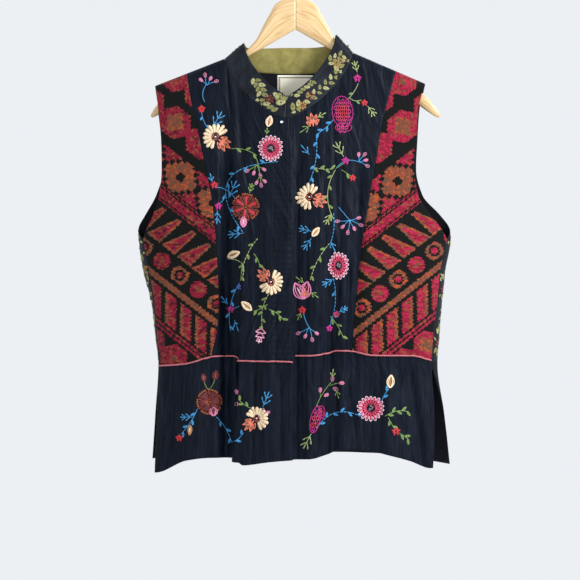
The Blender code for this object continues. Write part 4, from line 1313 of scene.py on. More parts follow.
def needlework(grid, painted_light_reds, ribbon_at, mirrored=False):
    """The yarn of each stitch of a side panel. The reds it is given are darker on the left panel, as painted shade,
    and brighter on the right, as painted light.
    """
    points = grid.points
    middle = (points[1:, 1:] + points[:-1, :-1]) / 2
    row, column = np.indices(middle.shape[:2])
    # Counted stitches step in pairs, which gives every slanting edge its teeth
    p = plan(middle) + 0.9 * ((row // 2) % 2) - 0.45 - ribbon_at
    if mirrored:
        p = -np.conj(p)
    turned_back = p * np.exp(-1j * SLANT)
    yarn = pick(GROUND, row, column, 1)
    for seed, stripe in enumerate(STRIPES):
        rim, body, heart = figures(stripe, turned_back.real, turned_back.imag)
        for mask, yarns in ((body, painted_light_reds), (rim, RUSTS), (heart, BROWNS)):
            yarn = np.where(mask, pick(yarns, row, column, seed), yarn)
    return yarn


# ---------------------------------------------------------------------------------------
# The cloth pieces
# ---------------------------------------------------------------------------------------


Sheet = namedtuple("Sheet", "piece size rests_on on_it")
SHEETS = []


def hang(name, node, slot, grid, outside, rests_on, thickness=CLOTH, inside=None, yarns=None):
    """A panel of cloth from its grid, kept with the size it was cut to."""
    obj = settle(shell(name, grid, thickness, outside, inside or LINING, yarns), slot, node)
    SHEETS.append(Sheet(obj, cloth_size(grid), rests_on, []))
    return SHEETS[-1]


LEFT_HEM, RIGHT_HEM, BACK_HEM = (
    level(rows, "hem") for rows in (LEFT_LEVELS, RIGHT_LEVELS, BACK_LEVELS))

left_lines = columns(*left_front_parts(inset(FRONT_LEFT_SEAM, HALF_GAP)))
FRONT_LEFT_GRID = bodice_grid(left_lines, True, LEFT_WAIST, lap_lift)
right_lines = columns(*right_front_parts(inset(FRONT_RIGHT_SEAM, -HALF_GAP)))
FRONT_RIGHT_GRID = bodice_grid(right_lines, True, RIGHT_WAIST)
front_left = hang("front_left_silk", "front_middle_left", "silk", FRONT_LEFT_GRID, FRONT_SILK,
                  ["hanger_left", "front_side_left"])
front_right = hang("front_right_silk", "front_middle_right", "silk", FRONT_RIGHT_GRID,
                   FRONT_SILK, ["hanger_right", "front_side_right"])

side_left_lines = columns(inset(FRONT_LEFT_SIDE, HALF_GAP), 60, even,
                          inset(FRONT_LEFT_SEAM, -HALF_GAP))
SIDE_LEFT_GRID = bodice_grid(side_left_lines, True, LEFT_WAIST, rows=(150, 140))
side_right_lines = columns(inset(FRONT_RIGHT_SEAM, HALF_GAP), 64, even,
                           inset(FRONT_RIGHT_SIDE, -HALF_GAP))
SIDE_RIGHT_GRID = bodice_grid(side_right_lines, True, RIGHT_WAIST, rows=(150, 140))
# The left panel takes the darker reds, as painted shade, and the right panel the brighter reds, as painted light.
hang("side_left_needlework", "front_side_left", "tapestry", SIDE_LEFT_GRID,
     NEEDLEWORK, ["hanger_left", "back_side_left"],
     yarns=needlework(SIDE_LEFT_GRID, REDS_WITH_PAINTED_SHADE, RIBBON_AT[0]))
hang("side_right_needlework", "front_side_right", "tapestry", SIDE_RIGHT_GRID,
     NEEDLEWORK, ["hanger_right", "back_side_right"],
     yarns=needlework(SIDE_RIGHT_GRID, REDS_WITH_PAINTED_LIGHT, RIBBON_AT[1], True))

skirt_left_lines = columns(
    inset(FRONT_LEFT_SIDE, HALF_GAP), 42, even, *left_front_parts(FRONT_LEFT_SEAM))
SKIRT_LEFT_GRID = skirt_grid(skirt_left_lines, LEFT_WAIST, LEFT_HEM, lap_lift)
skirt_right_lines = columns(
    *right_front_parts(FRONT_RIGHT_SEAM), 50, even, inset(FRONT_RIGHT_SIDE, -HALF_GAP))
SKIRT_RIGHT_GRID = skirt_grid(skirt_right_lines, RIGHT_WAIST, RIGHT_HEM)
skirt_left = hang("skirt_left_silk", "skirt_front_left", "silk", SKIRT_LEFT_GRID, FRONT_SILK,
                  ["front_middle_left", "front_side_left"])
skirt_right = hang("skirt_right_silk", "skirt_front_right", "silk", SKIRT_RIGHT_GRID,
                   FRONT_SILK, ["front_middle_right", "front_side_right"])

left_edge, right_edge = inset(BACK_LEFT_SIDE, -HALF_GAP), inset(BACK_RIGHT_SIDE, HALF_GAP)
back_lines = columns(
    *back_parts(inset(BACK_LEFT_SEAM, -HALF_GAP), inset(BACK_RIGHT_SEAM, HALF_GAP)))
BACK_GRID = flipped(bodice_grid(back_lines, False, back_waist, rows=(70, 64)))
back_left_lines = columns(left_edge, 44, even, inset(BACK_LEFT_SEAM, HALF_GAP))
BACK_LEFT_GRID = flipped(bodice_grid(back_left_lines, False, back_waist))
back_right_lines = columns(inset(BACK_RIGHT_SEAM, -HALF_GAP), 44, even, right_edge)
BACK_RIGHT_GRID = flipped(bodice_grid(back_right_lines, False, back_waist))
skirt_back_lines = columns(left_edge, 34, even, *back_parts(BACK_LEFT_SEAM, BACK_RIGHT_SEAM),
                           34, even, right_edge)
SKIRT_BACK_GRID = flipped(skirt_grid(skirt_back_lines, back_waist, BACK_HEM, rows=52))
hang("back_silk", "back_middle", "silk", BACK_GRID, BACK_SILK,
     ["hanger_left", "hanger_right"])
back_left = hang("back_left_brocade", "back_side_left", "brocade", BACK_LEFT_GRID, BROCADE,
                 ["hanger_left", "back_middle"])
back_right = hang("back_right_brocade", "back_side_right", "brocade", BACK_RIGHT_GRID, BROCADE,
                  ["hanger_right", "back_middle"])
hang("skirt_back_silk", "skirt_back", "silk", SKIRT_BACK_GRID, BACK_SILK,
     ["back_middle", "back_side_left", "back_side_right"])


NECK_FRONT_STEPS, NECK_BACK_STEPS = 74, 110


def neck_points(x, front):
    z = neck_z(x, front)
    angle = loop_angle(x, z, front)
    lift = lap_lift(angle, z) * (x <= NECK_FRONT[0]) if front else 0.0
    return body(angle, z, lift)


def neck_seam():
    """Points round the neckline, from the opening's left edge round the back to its right."""
    middle = NECK_FRONT[0]
    left, right = shoulder_point(True)[0], shoulder_point(False)[0]
    steps = np.arange(1, NECK_FRONT_STEPS) / NECK_FRONT_STEPS
    share = close_at_end(steps)
    points = [neck_points(np.array([middle]), True), neck_points(mix(middle, left, share), True)]
    share = close_at_both(np.arange(NECK_BACK_STEPS + 1) / NECK_BACK_STEPS)
    points.append(neck_points(mix(left, right, share), False))
    share = 1 - close_at_end(1 - steps)
    points.append(neck_points(mix(right, middle, share), True))
    last = neck_z(np.array([middle]), True)
    points.append(body(loop_angle(middle, last), last))
    return np.concatenate(points)


def collar_grid(out, start, rows):
    """The stand collar: the neckline drawn in towards the neck as it rises."""
    seam = neck_seam()
    pulled = np.stack(((COLLAR_MIDDLE_X - seam[:, 0]) * COLLAR_DRAWN_IN[0],
                       -seam[:, 1] * COLLAR_DRAWN_IN[1]), axis=-1)
    rise = np.concatenate(
        (pulled, np.sqrt(COLLAR_HEIGHT**2 - (pulled**2).sum(-1, keepdims=True))), axis=-1)
    reach = 5
    index = np.arange(len(seam))
    far, near = np.minimum(index + reach, len(seam) - 1), np.maximum(index - reach, 0)
    ahead = unit(seam[far] - seam[near])
    facing = unit(np.cross(rise, ahead))
    from_end = np.minimum(np.linalg.norm(seam - seam[0], axis=-1),
                          np.linalg.norm(seam - seam[-1], axis=-1))
    corner = COLLAR_CORNER * np.maximum(0, 1 - from_end / (COLLAR_CORNER * 2)) ** 2
    share = (np.arange(rows + 1) / rows)[:, None]
    up = mix(start, COLLAR_HEIGHT - corner[None, :], share)
    points = seam + unit(rise) * up[..., None] + facing * out
    return Grid(points, np.broadcast_to(facing, points.shape), up, 0)


COLLAR_GRID = collar_grid(0.0, COLLAR_OFF_SEAM, 16)
FACING_GRID = collar_grid(-(CLOTH / 2 + SEAM_GAP + FACING / 2), -0.0018, 16)
collar = hang("collar_brocade", "collar_band", "brocade", COLLAR_GRID, BROCADE,
              ["front_middle_left", "front_middle_right", "back_middle"])
hang("collar_velvet", "collar_facing", "facing", FACING_GRID, VELVET,
     ["collar_band"], FACING, VELVET)


def label_grid():
    left, right, top, bottom = LABEL
    z = np.linspace(top, bottom, 15)[:, None] + np.zeros((1, 25))
    x = np.linspace(left, right, 25)[None, :] + np.zeros_like(z)
    angle = loop_angle(x, z, front=False)
    out = outward(angle, z)
    inside = CLOTH / 2 + SEAM_GAP + LABEL_THICKNESS / 2
    return flipped(Grid(body(angle, z) - out * inside, out, z, 0))


LABEL_GRID = label_grid()
hang("neck_label_cotton", "neck_label", "label", LABEL_GRID, LABEL_CLOTH,
     ["back_middle"], LABEL_THICKNESS, LABEL_CLOTH)


# ---------------------------------------------------------------------------------------
# Embroidery: each motif is placed one by one and drawn by its function in single stitches
# ---------------------------------------------------------------------------------------

Stitch = namedtuple("Stitch", "start end width thread")


def way(degrees):
    """A step of one unit on the plan, turned clockwise from straight up."""
    return complex(math.sin(math.radians(degrees)), -math.cos(math.radians(degrees)))


def smooth(points, spacing=0.4):
    """A curve through points on the plan, as points an even distance apart."""
    p = np.array(points, dtype=complex)
    p = np.concatenate(([2 * p[0] - p[1]], p, [2 * p[-1] - p[-2]]))
    t = np.linspace(0, 1, 20, endpoint=False)
    made = [
        0.5 * (2 * b + (c - a) * t + (2 * a - 5 * b + 4 * c - d) * t**2
               + (3 * b - a - 3 * c + d) * t**3)
        for a, b, c, d in zip(p, p[1:], p[2:], p[3:])
    ]
    path = np.concatenate(made + [p[-2:-1]])
    run = np.concatenate(([0.0], np.cumsum(abs(np.diff(path)))))
    at = np.arange(0.0, run[-1] + spacing / 2, spacing)
    return np.interp(at, run, path.real) + 1j * np.interp(at, run, path.imag)


def sew(points, thread, width=0.85, length=2.8, gap=-0.5):
    """Stitches laid end to end along a curve, overlapping where the gap is below zero."""
    path, spacing = smooth(points), 0.4
    made, at = [], 0.0
    while at < len(path) - 2:
        end = min(at + length / spacing, len(path) - 1)
        made.append(Stitch(path[int(at)], path[int(end)], width, thread))
        at += (length + gap) / spacing
    return made


def vine(*points, thread="blue"):
    """Running stitch with a little cloth showing between the stitches."""
    return sew(points, thread, 1.0, 3.0, 0.7)


def stem(*points, thread="green"):
    return sew(points, thread)


def ray(heart, turn, size, near, far, width, thread):
    """A stitch straight out from a heart, between two shares of a size."""
    return Stitch(heart + way(turn) * size * near, heart + way(turn) * size * far, width, thread)


def leaf(at, turn, size=5.0, thread="green"):
    """A small leaf: two bowed sides that meet in a point, filled along the middle."""
    tip, side = at + way(turn) * size, way(turn + 90) * size * 0.20
    middle = at + way(turn) * size * 0.5
    return [Stitch(a, b, wide, thread) for a, b, wide in (
        (at, middle + side, 1.0), (middle + side, tip, 1.0), (at, middle - side, 1.0),
        (middle - side, tip, 1.0), (at + way(turn) * size * 0.2, at + way(turn) * size * 0.8, 1.2))]


def sprig(at, turn, size=9.0, thread="green", pairs=2):
    """A stem with pairs of slanting leaves and one at its tip."""
    middle, tip = at + way(turn) * size * 0.5, at + way(turn) * size * 0.72
    made = sew((at, middle, tip), thread, 0.9)
    made.append(Stitch(tip - way(turn), at + way(turn) * size, 1.5, thread))
    for k in range(pairs):
        root = at + (tip - at) * (0.26 + 0.52 * k / max(pairs - 1, 1))
        for lean in (-36, 36):
            end = root + way(turn + lean) * size * (0.46 - 0.05 * k)
            bow = (root + end) / 2 + way(turn + lean * 2.2) * 0.5
            made += [Stitch(root, bow, 1.2, thread), Stitch(bow, end, 1.45, thread)]
    return made


def berry(at, turn, size=4.6, closed=False):
    """A pink drop of looped stitch, filled or with the cloth showing in its middle."""
    made, ring = [], []
    for k in range(7):
        a = 2 * math.pi * k / 7
        ring.append(at + way(turn) * size * 0.5 * math.cos(a) + way(turn + 90) * size * 0.30
                    * math.sin(a) * (1 - 0.25 * math.cos(a + math.pi)))
    for a, b in zip(ring, ring[1:] + ring[:1]):
        made.append(Stitch(a, b, 0.85, "pink"))
    reach, width, thread = (0.35, 1.9, "pink") if closed else (0.18, 0.6, "pale_pink")
    return made + [ray(at, turn, size, -reach, reach, width, thread)]


def berries(root, *tips, thread="blue"):
    """Pink drops on short stems that leave one root."""
    made = []
    for k, tip in enumerate(tips):
        turn = math.degrees(math.atan2((tip - root).real, -(tip - root).imag))
        reach = tip - way(turn) * 2.2
        middle = (root + reach) / 2 + way(turn + 90) * 0.5 * (-1) ** k
        made += stem(root, middle, reach, thread=thread) + berry(tip, turn, closed=k % 2 == 0)
    return made


def tuft(at, size=4.6, thread="red"):
    """A small full flower of short fanned stitches round a darker middle."""
    made, count, spread = [], 9, 300
    for k in range(count):
        angle = spread * k / (count - 1) - spread / 2
        made.append(ray(at, angle, size, 0.18, 0.80 + 0.10 * (-1) ** k, 1.9, thread))
    return made + [Stitch(at - way(0), at + way(0), 1.2, "dark_red")]


def cream_flower(heart, *petals):
    """Separate padded satin petals, each with a tan shadow line, round a white knot.
    Each petal is its direction and how far it reaches."""
    made = []
    for angle, reach in petals:
        along_it, side = way(angle), way(angle + 90)
        made.append(ray(heart, angle, reach, 0.30, 1.0, 3.1, "cream"))
        made.append(ray(heart, angle, reach, 0.60, 0.98, 4.2, "cream"))
        made.append(Stitch(heart + along_it * reach * 0.24 + side * 0.8,
                           heart + along_it * reach * 0.80 + side * 2.0, 0.9, "tan"))
    for k in range(10):
        made.append(Stitch(heart + way(k * 36) * 2.7, heart + way(k * 36 + 36) * 2.7, 0.9,
                           "coral" if k % 3 else "dark_red"))
    return made + [Stitch(heart - 0.9, heart + 0.9, 2.0, "pale_pink")]


def coral_bud(base, turn, size=11.0):
    """A lobed bud of slanting satin stitches, like a small maple leaf."""
    made = []
    for lean, reach in ((-78, 0.62), (-40, 0.86), (-4, 1.0), (34, 0.90), (70, 0.66)):
        angle = turn + lean * 0.72
        spine, across = way(angle), way(angle + 90)
        tip = base + spine * size * reach
        for side in (-1, 1):
            root = base + spine * size * 0.14 + across * side * size * 0.12
            bow = base + spine * size * reach * 0.62 + across * side * size * 0.115
            made += [Stitch(root, bow, 1.7, "coral"), Stitch(bow, tip, 1.4, "coral")]
        made.append(ray(base, angle, size, 0.2, reach * 0.8, 0.8, "tan"))
    made += [ray(base, turn + lean, size, 0.40, 0.56, 1.1, "dark_red")
             for lean in (-46, -14, 18, 48)]
    return made + [Stitch(base - way(turn) * 1.0, base + way(turn) * size * 0.3, 2.0, "coral")]


def daisy(heart, wide=13.0, tall=13.0, count=17, seed=1):
    """A pink flower: looped petals with pale rims round a dark heart with grey threads."""
    made = []

    def at(angle, far):
        return heart + complex(way(angle).real * wide, way(angle).imag * tall) * far

    for k in range(count):
        angle = 360 * k / count
        far = 0.88 + 0.12 * float(chance(k // 2, 3, seed))
        half = 180 / count
        made.append(Stitch(at(angle, 0.30), at(angle, 0.90 * far), 2.3, "rose"))
        made.append(Stitch(at(angle + half * 0.3, 0.55), at(angle, 0.86 * far), 0.8, "pink"))
        for side in (-1, 1):
            rim = at(angle + side * half * 0.62, 0.90 * far)
            low = at(angle + side * half * 0.8, 0.62)
            made.append(Stitch(low, rim, 0.85, "pale_pink"))
            made.append(Stitch(rim, at(angle, 1.01 * far), 1.05, "pale_pink"))
    for k in range(12):
        made.append(Stitch(at(30 * k, 0.31), at(30 * k + 26, 0.29), 1.0, "dark_red"))
    for k in range(13):
        a, b = (360 * float(chance(k, j, seed)) for j in (5, 9))
        centre = heart + way(a) * wide * 0.10
        made.append(Stitch(centre, centre + way(b) * 2.2, 0.6, "grey"))
    return made


def carnation(heart, size=14.0, turn=0.0, light="red"):
    """Six notched fans in dark red, each outlined and veined in orange."""
    made = []
    for lobe in range(6):
        middle = turn + lobe * 60
        for k in range(6):
            angle = middle - 21 + 8.4 * k
            made.append(ray(heart, angle, size, 0.20, 0.80 + 0.06 * (k % 2), 1.9,
                            light if k in (2, 3) else "dark_red"))
        for spread, pulled, near, far, width in ((25, 0.4, 0.12, 0.86, 0.9),
                                                 (9, 0.5, 0.14, 0.62, 0.8)):
            for side in (-spread, spread):
                made.append(Stitch(heart + way(middle + side * pulled) * size * near,
                                   heart + way(middle + side) * size * far, width, "orange"))
        for k in range(5):
            a = middle - 25 + 10 * k
            low, point, next_low = (heart + way(a + 5 * j) * size * (1.0, 0.84)[j % 2 == 0]
                                    for j in range(3))
            made += [Stitch(low, point, 0.8, "orange"),
                     Stitch(point, next_low, 0.8, "gold" if k % 2 else "orange")]
    return made + [Stitch(heart - 1.0, heart + 1.0, 2.0, "orange")]


def chained_oval(heart, wide, tall, lean=0.0):
    """An oval filled with small chain loops: magenta at its edge, red inside."""
    made, row = [], 0
    y = -tall
    while y <= tall:
        x = -wide + (2.2 if row % 2 else 0.0)
        while x <= wide:
            far = math.hypot(x / wide, y / tall)
            if far < 1.0:
                at = heart + complex(x + lean * y, y)
                thread = "magenta" if far > 0.74 else "rose" if (row + int(x)) % 3 else "red"
                for a, b in ((-2.3j, 1.5), (1.5, 2.3j), (2.3j, -1.5), (-1.5, -2.3j)):
                    made.append(Stitch(at + a, at + b, 0.95, thread))
            x += 4.1
        y += 3.5
        row += 1
    steps = 22
    for k in range(steps):
        a, b = (complex(wide * 1.06 * math.cos(t) + lean * tall * math.sin(t),
                        tall * 1.05 * math.sin(t))
                for t in (2 * math.pi * k / steps, 2 * math.pi * (k + 1) / steps))
        bulge = (a + b) / 2 * 1.10
        made += [Stitch(heart + a, heart + bulge, 0.9, "magenta"),
                 Stitch(heart + bulge, heart + b, 0.9, "magenta")]
    return made


def pointed_bud(at, turn, size=11.0, wide=0.5, thread="cream", heart="tan"):
    """A bud like a drop: bowed satin stitches from base to point, round a darker heart."""
    made, outline = [], ((0.0, 0.0), (0.22, 0.78), (0.50, 1.0), (0.78, 0.62), (1.0, 0.0))
    for bow in (-1.0, -0.55, 0.55, 1.0):
        curve = [at + way(turn) * size * share + way(turn + 90) * size * wide * 0.5 * bow * full
                 for share, full in outline]
        made += sew(curve, thread, 1.5, 3.0, -1.1)
    return made + [ray(at, turn, size, 0.20, 0.76, 1.7, heart)]


def pink_leaf(base, turn, size=16.0):
    """A lobed leaf outlined and filled in pink, open along its middle."""
    made, along_it = [], way(turn) * size
    for at, lean, reach in ((0.10, 50, 0.40), (0.34, 42, 0.40), (0.58, 30, 0.36)):
        for side in (-1, 1):
            root = base + along_it * at
            end = root + way(turn + side * lean) * size * reach
            made += [Stitch(root, end, 1.7, "pink"),
                     Stitch(end, base + along_it * (at + 0.30), 1.3, "pale_pink")]
    return made + [ray(base, turn, size, 0.0, 0.22, 1.4, "pink"),
                   ray(base, turn, size, 0.74, 1.0, 1.8, "pale_pink")]


def bowed(start, end, bow, share):
    """The place, and the turn, at a share of a line that bows to one side of the straight way."""
    pull = (start + end) / 2 - 2j * bow * (end - start)
    at = start * (1 - share) ** 2 + 2 * pull * share * (1 - share) + end * share**2
    on = (1 - share) * (pull - start) + share * (end - pull)
    return at, math.degrees(math.atan2(on.real, -on.imag))


def winding(start, end, bow, leaves=0, thread="blue", worked=vine, size=5.5):
    """A bowed stem with leaves to each side in turn."""
    made = worked(*[bowed(start, end, bow, k / 8)[0] for k in range(9)], thread=thread)
    leafy = "green" if thread == "light_green" else thread
    for k in range(leaves):
        at, turn = bowed(start, end, bow, (k + 0.6) / leaves)
        made += leaf(at, turn + 40 * (-1) ** k, size, leafy)
    return made


def berry_spray(root, turn, reach=12.0, count=4, thread="blue"):
    """Pink drops that fan out from one root."""
    fan = [root + way(turn + 38 * (k - (count - 1) / 2)) * reach * (0.72 + 0.22 * (k % 2))
           for k in range(count)]
    return berries(root, *fan, thread=thread)


def paired_bloom(heart, turn, size=13.0):
    """A cream flower that leaves room on one side for a coral bud."""
    petals = [(turn + 180 + lean, size * (0.88 + 0.14 * float(chance(lean, turn, 3))))
              for lean in range(-112, 113, 22)]
    return coral_bud(heart + way(turn) * size * 0.35, turn, size) + cream_flower(heart, *petals)


def left_embroidery():
    """The left front and its skirt, from the shoulder down."""
    return [
        *winding(205 + 103j, 207 + 85j, 0.16, 0, worked=stem), *berry_spray(207 + 86j, 10, 11),
        *tuft(202 + 110j, 4.4), *winding(202 + 112j, 209 + 130j, -0.08, 2, worked=stem, size=4),
        *sprig(213 + 129j, 30, 19, "blue", 2), *paired_bloom(216 + 138j, 130, 14),
        *winding(232 + 150j, 257 + 157j, 0.10, 3, "green", stem),
        *pointed_bud(268 + 128j, 15, 11, 0.58, "cream", "coral"), *sprig(267 + 136j, 4, 7, pairs=1),
        *daisy(271 + 150j, 13.2, 13.6, 18, 1),
        *winding(256 + 158j, 260 + 178j, 0.05, 0, "green", stem),
        *berry_spray(257 + 166j, 180, 12, 4, "green"), *berry_spray(260 + 178j, 170, 9, 3, "green"),
        *winding(278 + 163j, 244 + 234j, -0.46, 7), *sprig(243 + 234j, 265, 15, "blue", 2),
        *tuft(215 + 186j, 4.4), *sprig(213 + 183j, -14, 9, "blue", 1),
        *winding(216 + 188j, 236 + 200j, 0.14, 1, worked=stem),
        *sprig(229 + 199j, 25, 19, "blue", 2),
        *winding(226 + 198j, 220 + 205j, 0, 0, worked=stem), *tuft(219 + 207j, 4.2, "magenta"),
        *sprig(218 + 211j, 182, 14, "blue", 2),
        *carnation(246 + 208j, 14, 8), *sprig(250 + 194j, 15, 10, "green", 2),
        *pointed_bud(244 + 228j, 0, 11, 0.55, "pink", "pale_pink"),
        *winding(258 + 239j, 241 + 281j, -0.08, 4, "light_green"),
        *winding(254 + 254j, 260 + 268j, 0.1, 2, "green", stem),
        *pointed_bud(228 + 257j, 70, 13, 0.5, "cream", "tan"),
        *winding(228 + 259j, 241 + 281j, 0.40, 1, "light_green"),
        *winding(240 + 283j, 231 + 331j, -0.10, 4, worked=stem), *tuft(240 + 287j, 3, "deep_blue"),
        *winding(240 + 306j, 233 + 309j, 0, 0, worked=stem), *tuft(231 + 309j, 4.4, "magenta"),
        *sprig(228 + 304j, -40, 10, "blue", 1), *sprig(235 + 320j, 160, 12, "blue", 1),
        *paired_bloom(271 + 282j, -45),
        *winding(269 + 294j, 263 + 328j, -0.10, 5, "light_green"), *pink_leaf(262 + 326j, 190, 17),
        *winding(268 + 304j, 254 + 311j, 0.06, 2, "green", stem),
        *pointed_bud(252 + 310j, -50, 13, 0.5, "cream", "tan"),
        *winding(269 + 309j, 284 + 320j, 0.08, 4, "green", stem),
        # The skirt
        # This carnation and the two buds above it are worked in burgundy, darker than the same motifs above the waist:
        # painted shade where this part of the skirt lies in shadow.
        *carnation(210 + 401j, 13, 20, "burgundy"),
        *winding(209 + 389j, 205 + 381j, 0.1, 0, "green", stem),
        *winding(209 + 389j, 215 + 379j, -0.1, 0, "green", stem),
        *pointed_bud(205 + 381j, -12, 8, 0.6, "burgundy", "orange"),
        *pointed_bud(215 + 379j, 14, 9, 0.7, "burgundy", "orange"),
        *pointed_bud(214 + 415j, 0, 9, 0.9, "pink", "dark_red"),
        *winding(198 + 408j, 182 + 433j, 0.05, 4, worked=stem), *tuft(180 + 437j, 4.2),
        *sprig(193 + 416j, 268, 12, "blue", 2),
        *pointed_bud(191 + 424j, 184, 10, 0.4, "tan", "cream"),
        *winding(217 + 416j, 232 + 441j, 0.06, 3, worked=stem),
        *winding(232 + 441j, 244 + 431j, -0.1, 2, worked=stem),
        *paired_bloom(257 + 417j, 228, 12.5), *sprig(263 + 406j, 22, 17, "blue", 2),
        *winding(251 + 407j, 239 + 398j, 0.06, 3, "green", stem), *berry(237 + 391j, -6, 5.5, True),
        *berry(237 + 403j, 205, 4.6), *berry(263 + 409j, 20, 4.4),
        *berry(268 + 411j, 70, 4.4, True),
    ]


def right_embroidery():
    """The right front and its skirt, from the shoulder down."""
    return [
        *sprig(357 + 73j, -15, 12, "light_green", 2), *tuft(357 + 79j, 4.8, "magenta"),
        *winding(358 + 84j, 348 + 100j, 0.05, 1, "light_green", stem, 4.5),
        *winding(349 + 99j, 361 + 101j, -0.16, 1, "light_green", stem, 4.5), *tuft(364 + 104j, 3.8),
        *sprig(367 + 107j, 145, 13, "light_green", 2),
        *chained_oval(342 + 113j, 9.3, 14.2, 0.05), *chained_oval(343 + 129j, 7.2, 3.8),
        *coral_bud(313 + 127j, -8, 13), *sprig(317 + 119j, 60, 10, "light_green", 1),
        *sprig(310 + 127j, 235, 13, "green", 1),
        *winding(333 + 121j, 316 + 136j, 0.05, 4, worked=stem),
        *winding(316 + 136j, 304 + 194j, 0.08, 5), *sprig(309 + 156j, -40, 13, "blue", 1),
        *winding(311 + 168j, 333 + 170j, -0.06, 4, "light_green"),
        *sprig(343 + 158j, -28, 17, "light_green", 2), *tuft(345 + 162j, 4.6, "magenta"),
        *winding(335 + 170j, 344 + 164j, 0, 0, "green", stem),
        *winding(336 + 169j, 358 + 163j, 0.18, 0, worked=stem), *berry_spray(358 + 163j, 58, 10),
        *winding(341 + 171j, 350 + 177j, 0, 1, "green", stem), *tuft(352 + 179j, 3.8),
        *winding(335 + 171j, 333 + 220j, -0.14, 5, "light_green", stem),
        *paired_bloom(309 + 198j, 110, 14), *sprig(331 + 214j, 208, 13, "light_green", 2),
        *winding(333 + 214j, 330 + 244j, 0.06, 0),
        *winding(338 + 208j, 349 + 221j, 0, 0, worked=stem), *berry_spray(349 + 221j, 170, 13, 6),
        *pointed_bud(312 + 237j, 38, 11, 0.5, "cream", "tan"),
        *sprig(311 + 232j, -76, 13, "blue", 2), *sprig(311 + 239j, 215, 14, "blue", 2),
        *sprig(330 + 242j, 155, 11, "blue", 1),
        *winding(329 + 244j, 310 + 280j, -0.06, 4, "light_green"),
        *daisy(338 + 266j, 11.2, 14.6, 17, 2),
        *coral_bud(304 + 296j, 12, 8), *pointed_bud(303 + 299j, -28, 18, 0.62, "pink", "pale_pink"),
        *pointed_bud(303 + 299j, 14, 18, 0.62, "pink", "rose"),
        *sprig(304 + 283j, -55, 10, "green", 1),
        *sprig(310 + 292j, 125, 10, "green", 1),
        *sprig(333 + 279j, 240, 13, "blue", 2), *winding(333 + 279j, 331 + 321j, 0.07, 2),
        *tuft(302 + 310j, 4.6), *winding(303 + 311j, 309 + 327j, -0.06, 0, worked=stem),
        *berry_spray(309 + 327j, 185, 13), *sprig(301 + 312j, 205, 9, "green", 1),
        *tuft(336 + 314j, 3.8, "rose"), *sprig(338 + 312j, 62, 10, "blue", 2),
        *tuft(329 + 328j, 3.8, "magenta"), *winding(331 + 318j, 330 + 326j, 0, 0, worked=stem),
        *winding(330 + 316j, 343 + 338j, 0.05, 4, "green", stem),
        # The skirt
        *sprig(332 + 377j, 5, 9, "light_green", 1), *berry(332 + 378j, 0, 5),
        *winding(332 + 380j, 316 + 405j, -0.05, 0, "green", stem),
        *winding(329 + 385j, 339 + 382j, 0.05, 0, "green", stem), *berry(341 + 382j, 92, 5.2, True),
        *berry(335 + 388j, 120, 5.6), *sprig(336 + 389j, 165, 9, "green", 1),
        *berry(320 + 389j, 0, 5, True), *winding(320 + 397j, 320 + 392j, 0, 0, "green", stem),
        *berry(326 + 394j, 65, 5, True),
        *chained_oval(315 + 418j, 4.4, 11.8, -0.20), *chained_oval(321 + 411j, 3.0, 5.8),
        *sprig(311 + 432j, 208, 17, "light_green", 2),
        *winding(316 + 427j, 360 + 415j, 0.22, 6),
        *daisy(370 + 407j, 14.2, 13.2, 18, 3),
        *winding(381 + 401j, 388 + 388j, 0.08, 2, worked=stem),
        *pointed_bud(389 + 387j, 6, 13, 0.56, "cream", "tan"),
        *winding(384 + 415j, 408 + 411j, 0.12, 5, "green", stem, 6),
        *winding(387 + 416j, 393 + 427j, 0, 2, "green", stem), *tuft(395 + 430j, 5.0),
        *winding(398 + 432j, 408 + 439j, 0.05, 3, "green", stem, 6),
    ]


def seam_stitches():
    """Machine stitches in dark thread beside the placket and along the lap's edge."""
    made = []
    for (x0, z0), (x1, z1) in (PLACKET_STITCHES, LAP_STITCHES):
        for k in range(STITCHES_DOWN):
            a, b = (complex(mix(x0, x1, q) / UNIT + PLAN_MIDDLE,
                            -(mix(z0, z1, q) + PLAN_TOP) / UNIT)
                    for q in (k / STITCHES_DOWN, (k + 0.66) / STITCHES_DOWN))
            made.append(Stitch(a, b, 0.5, "dark"))
    return made


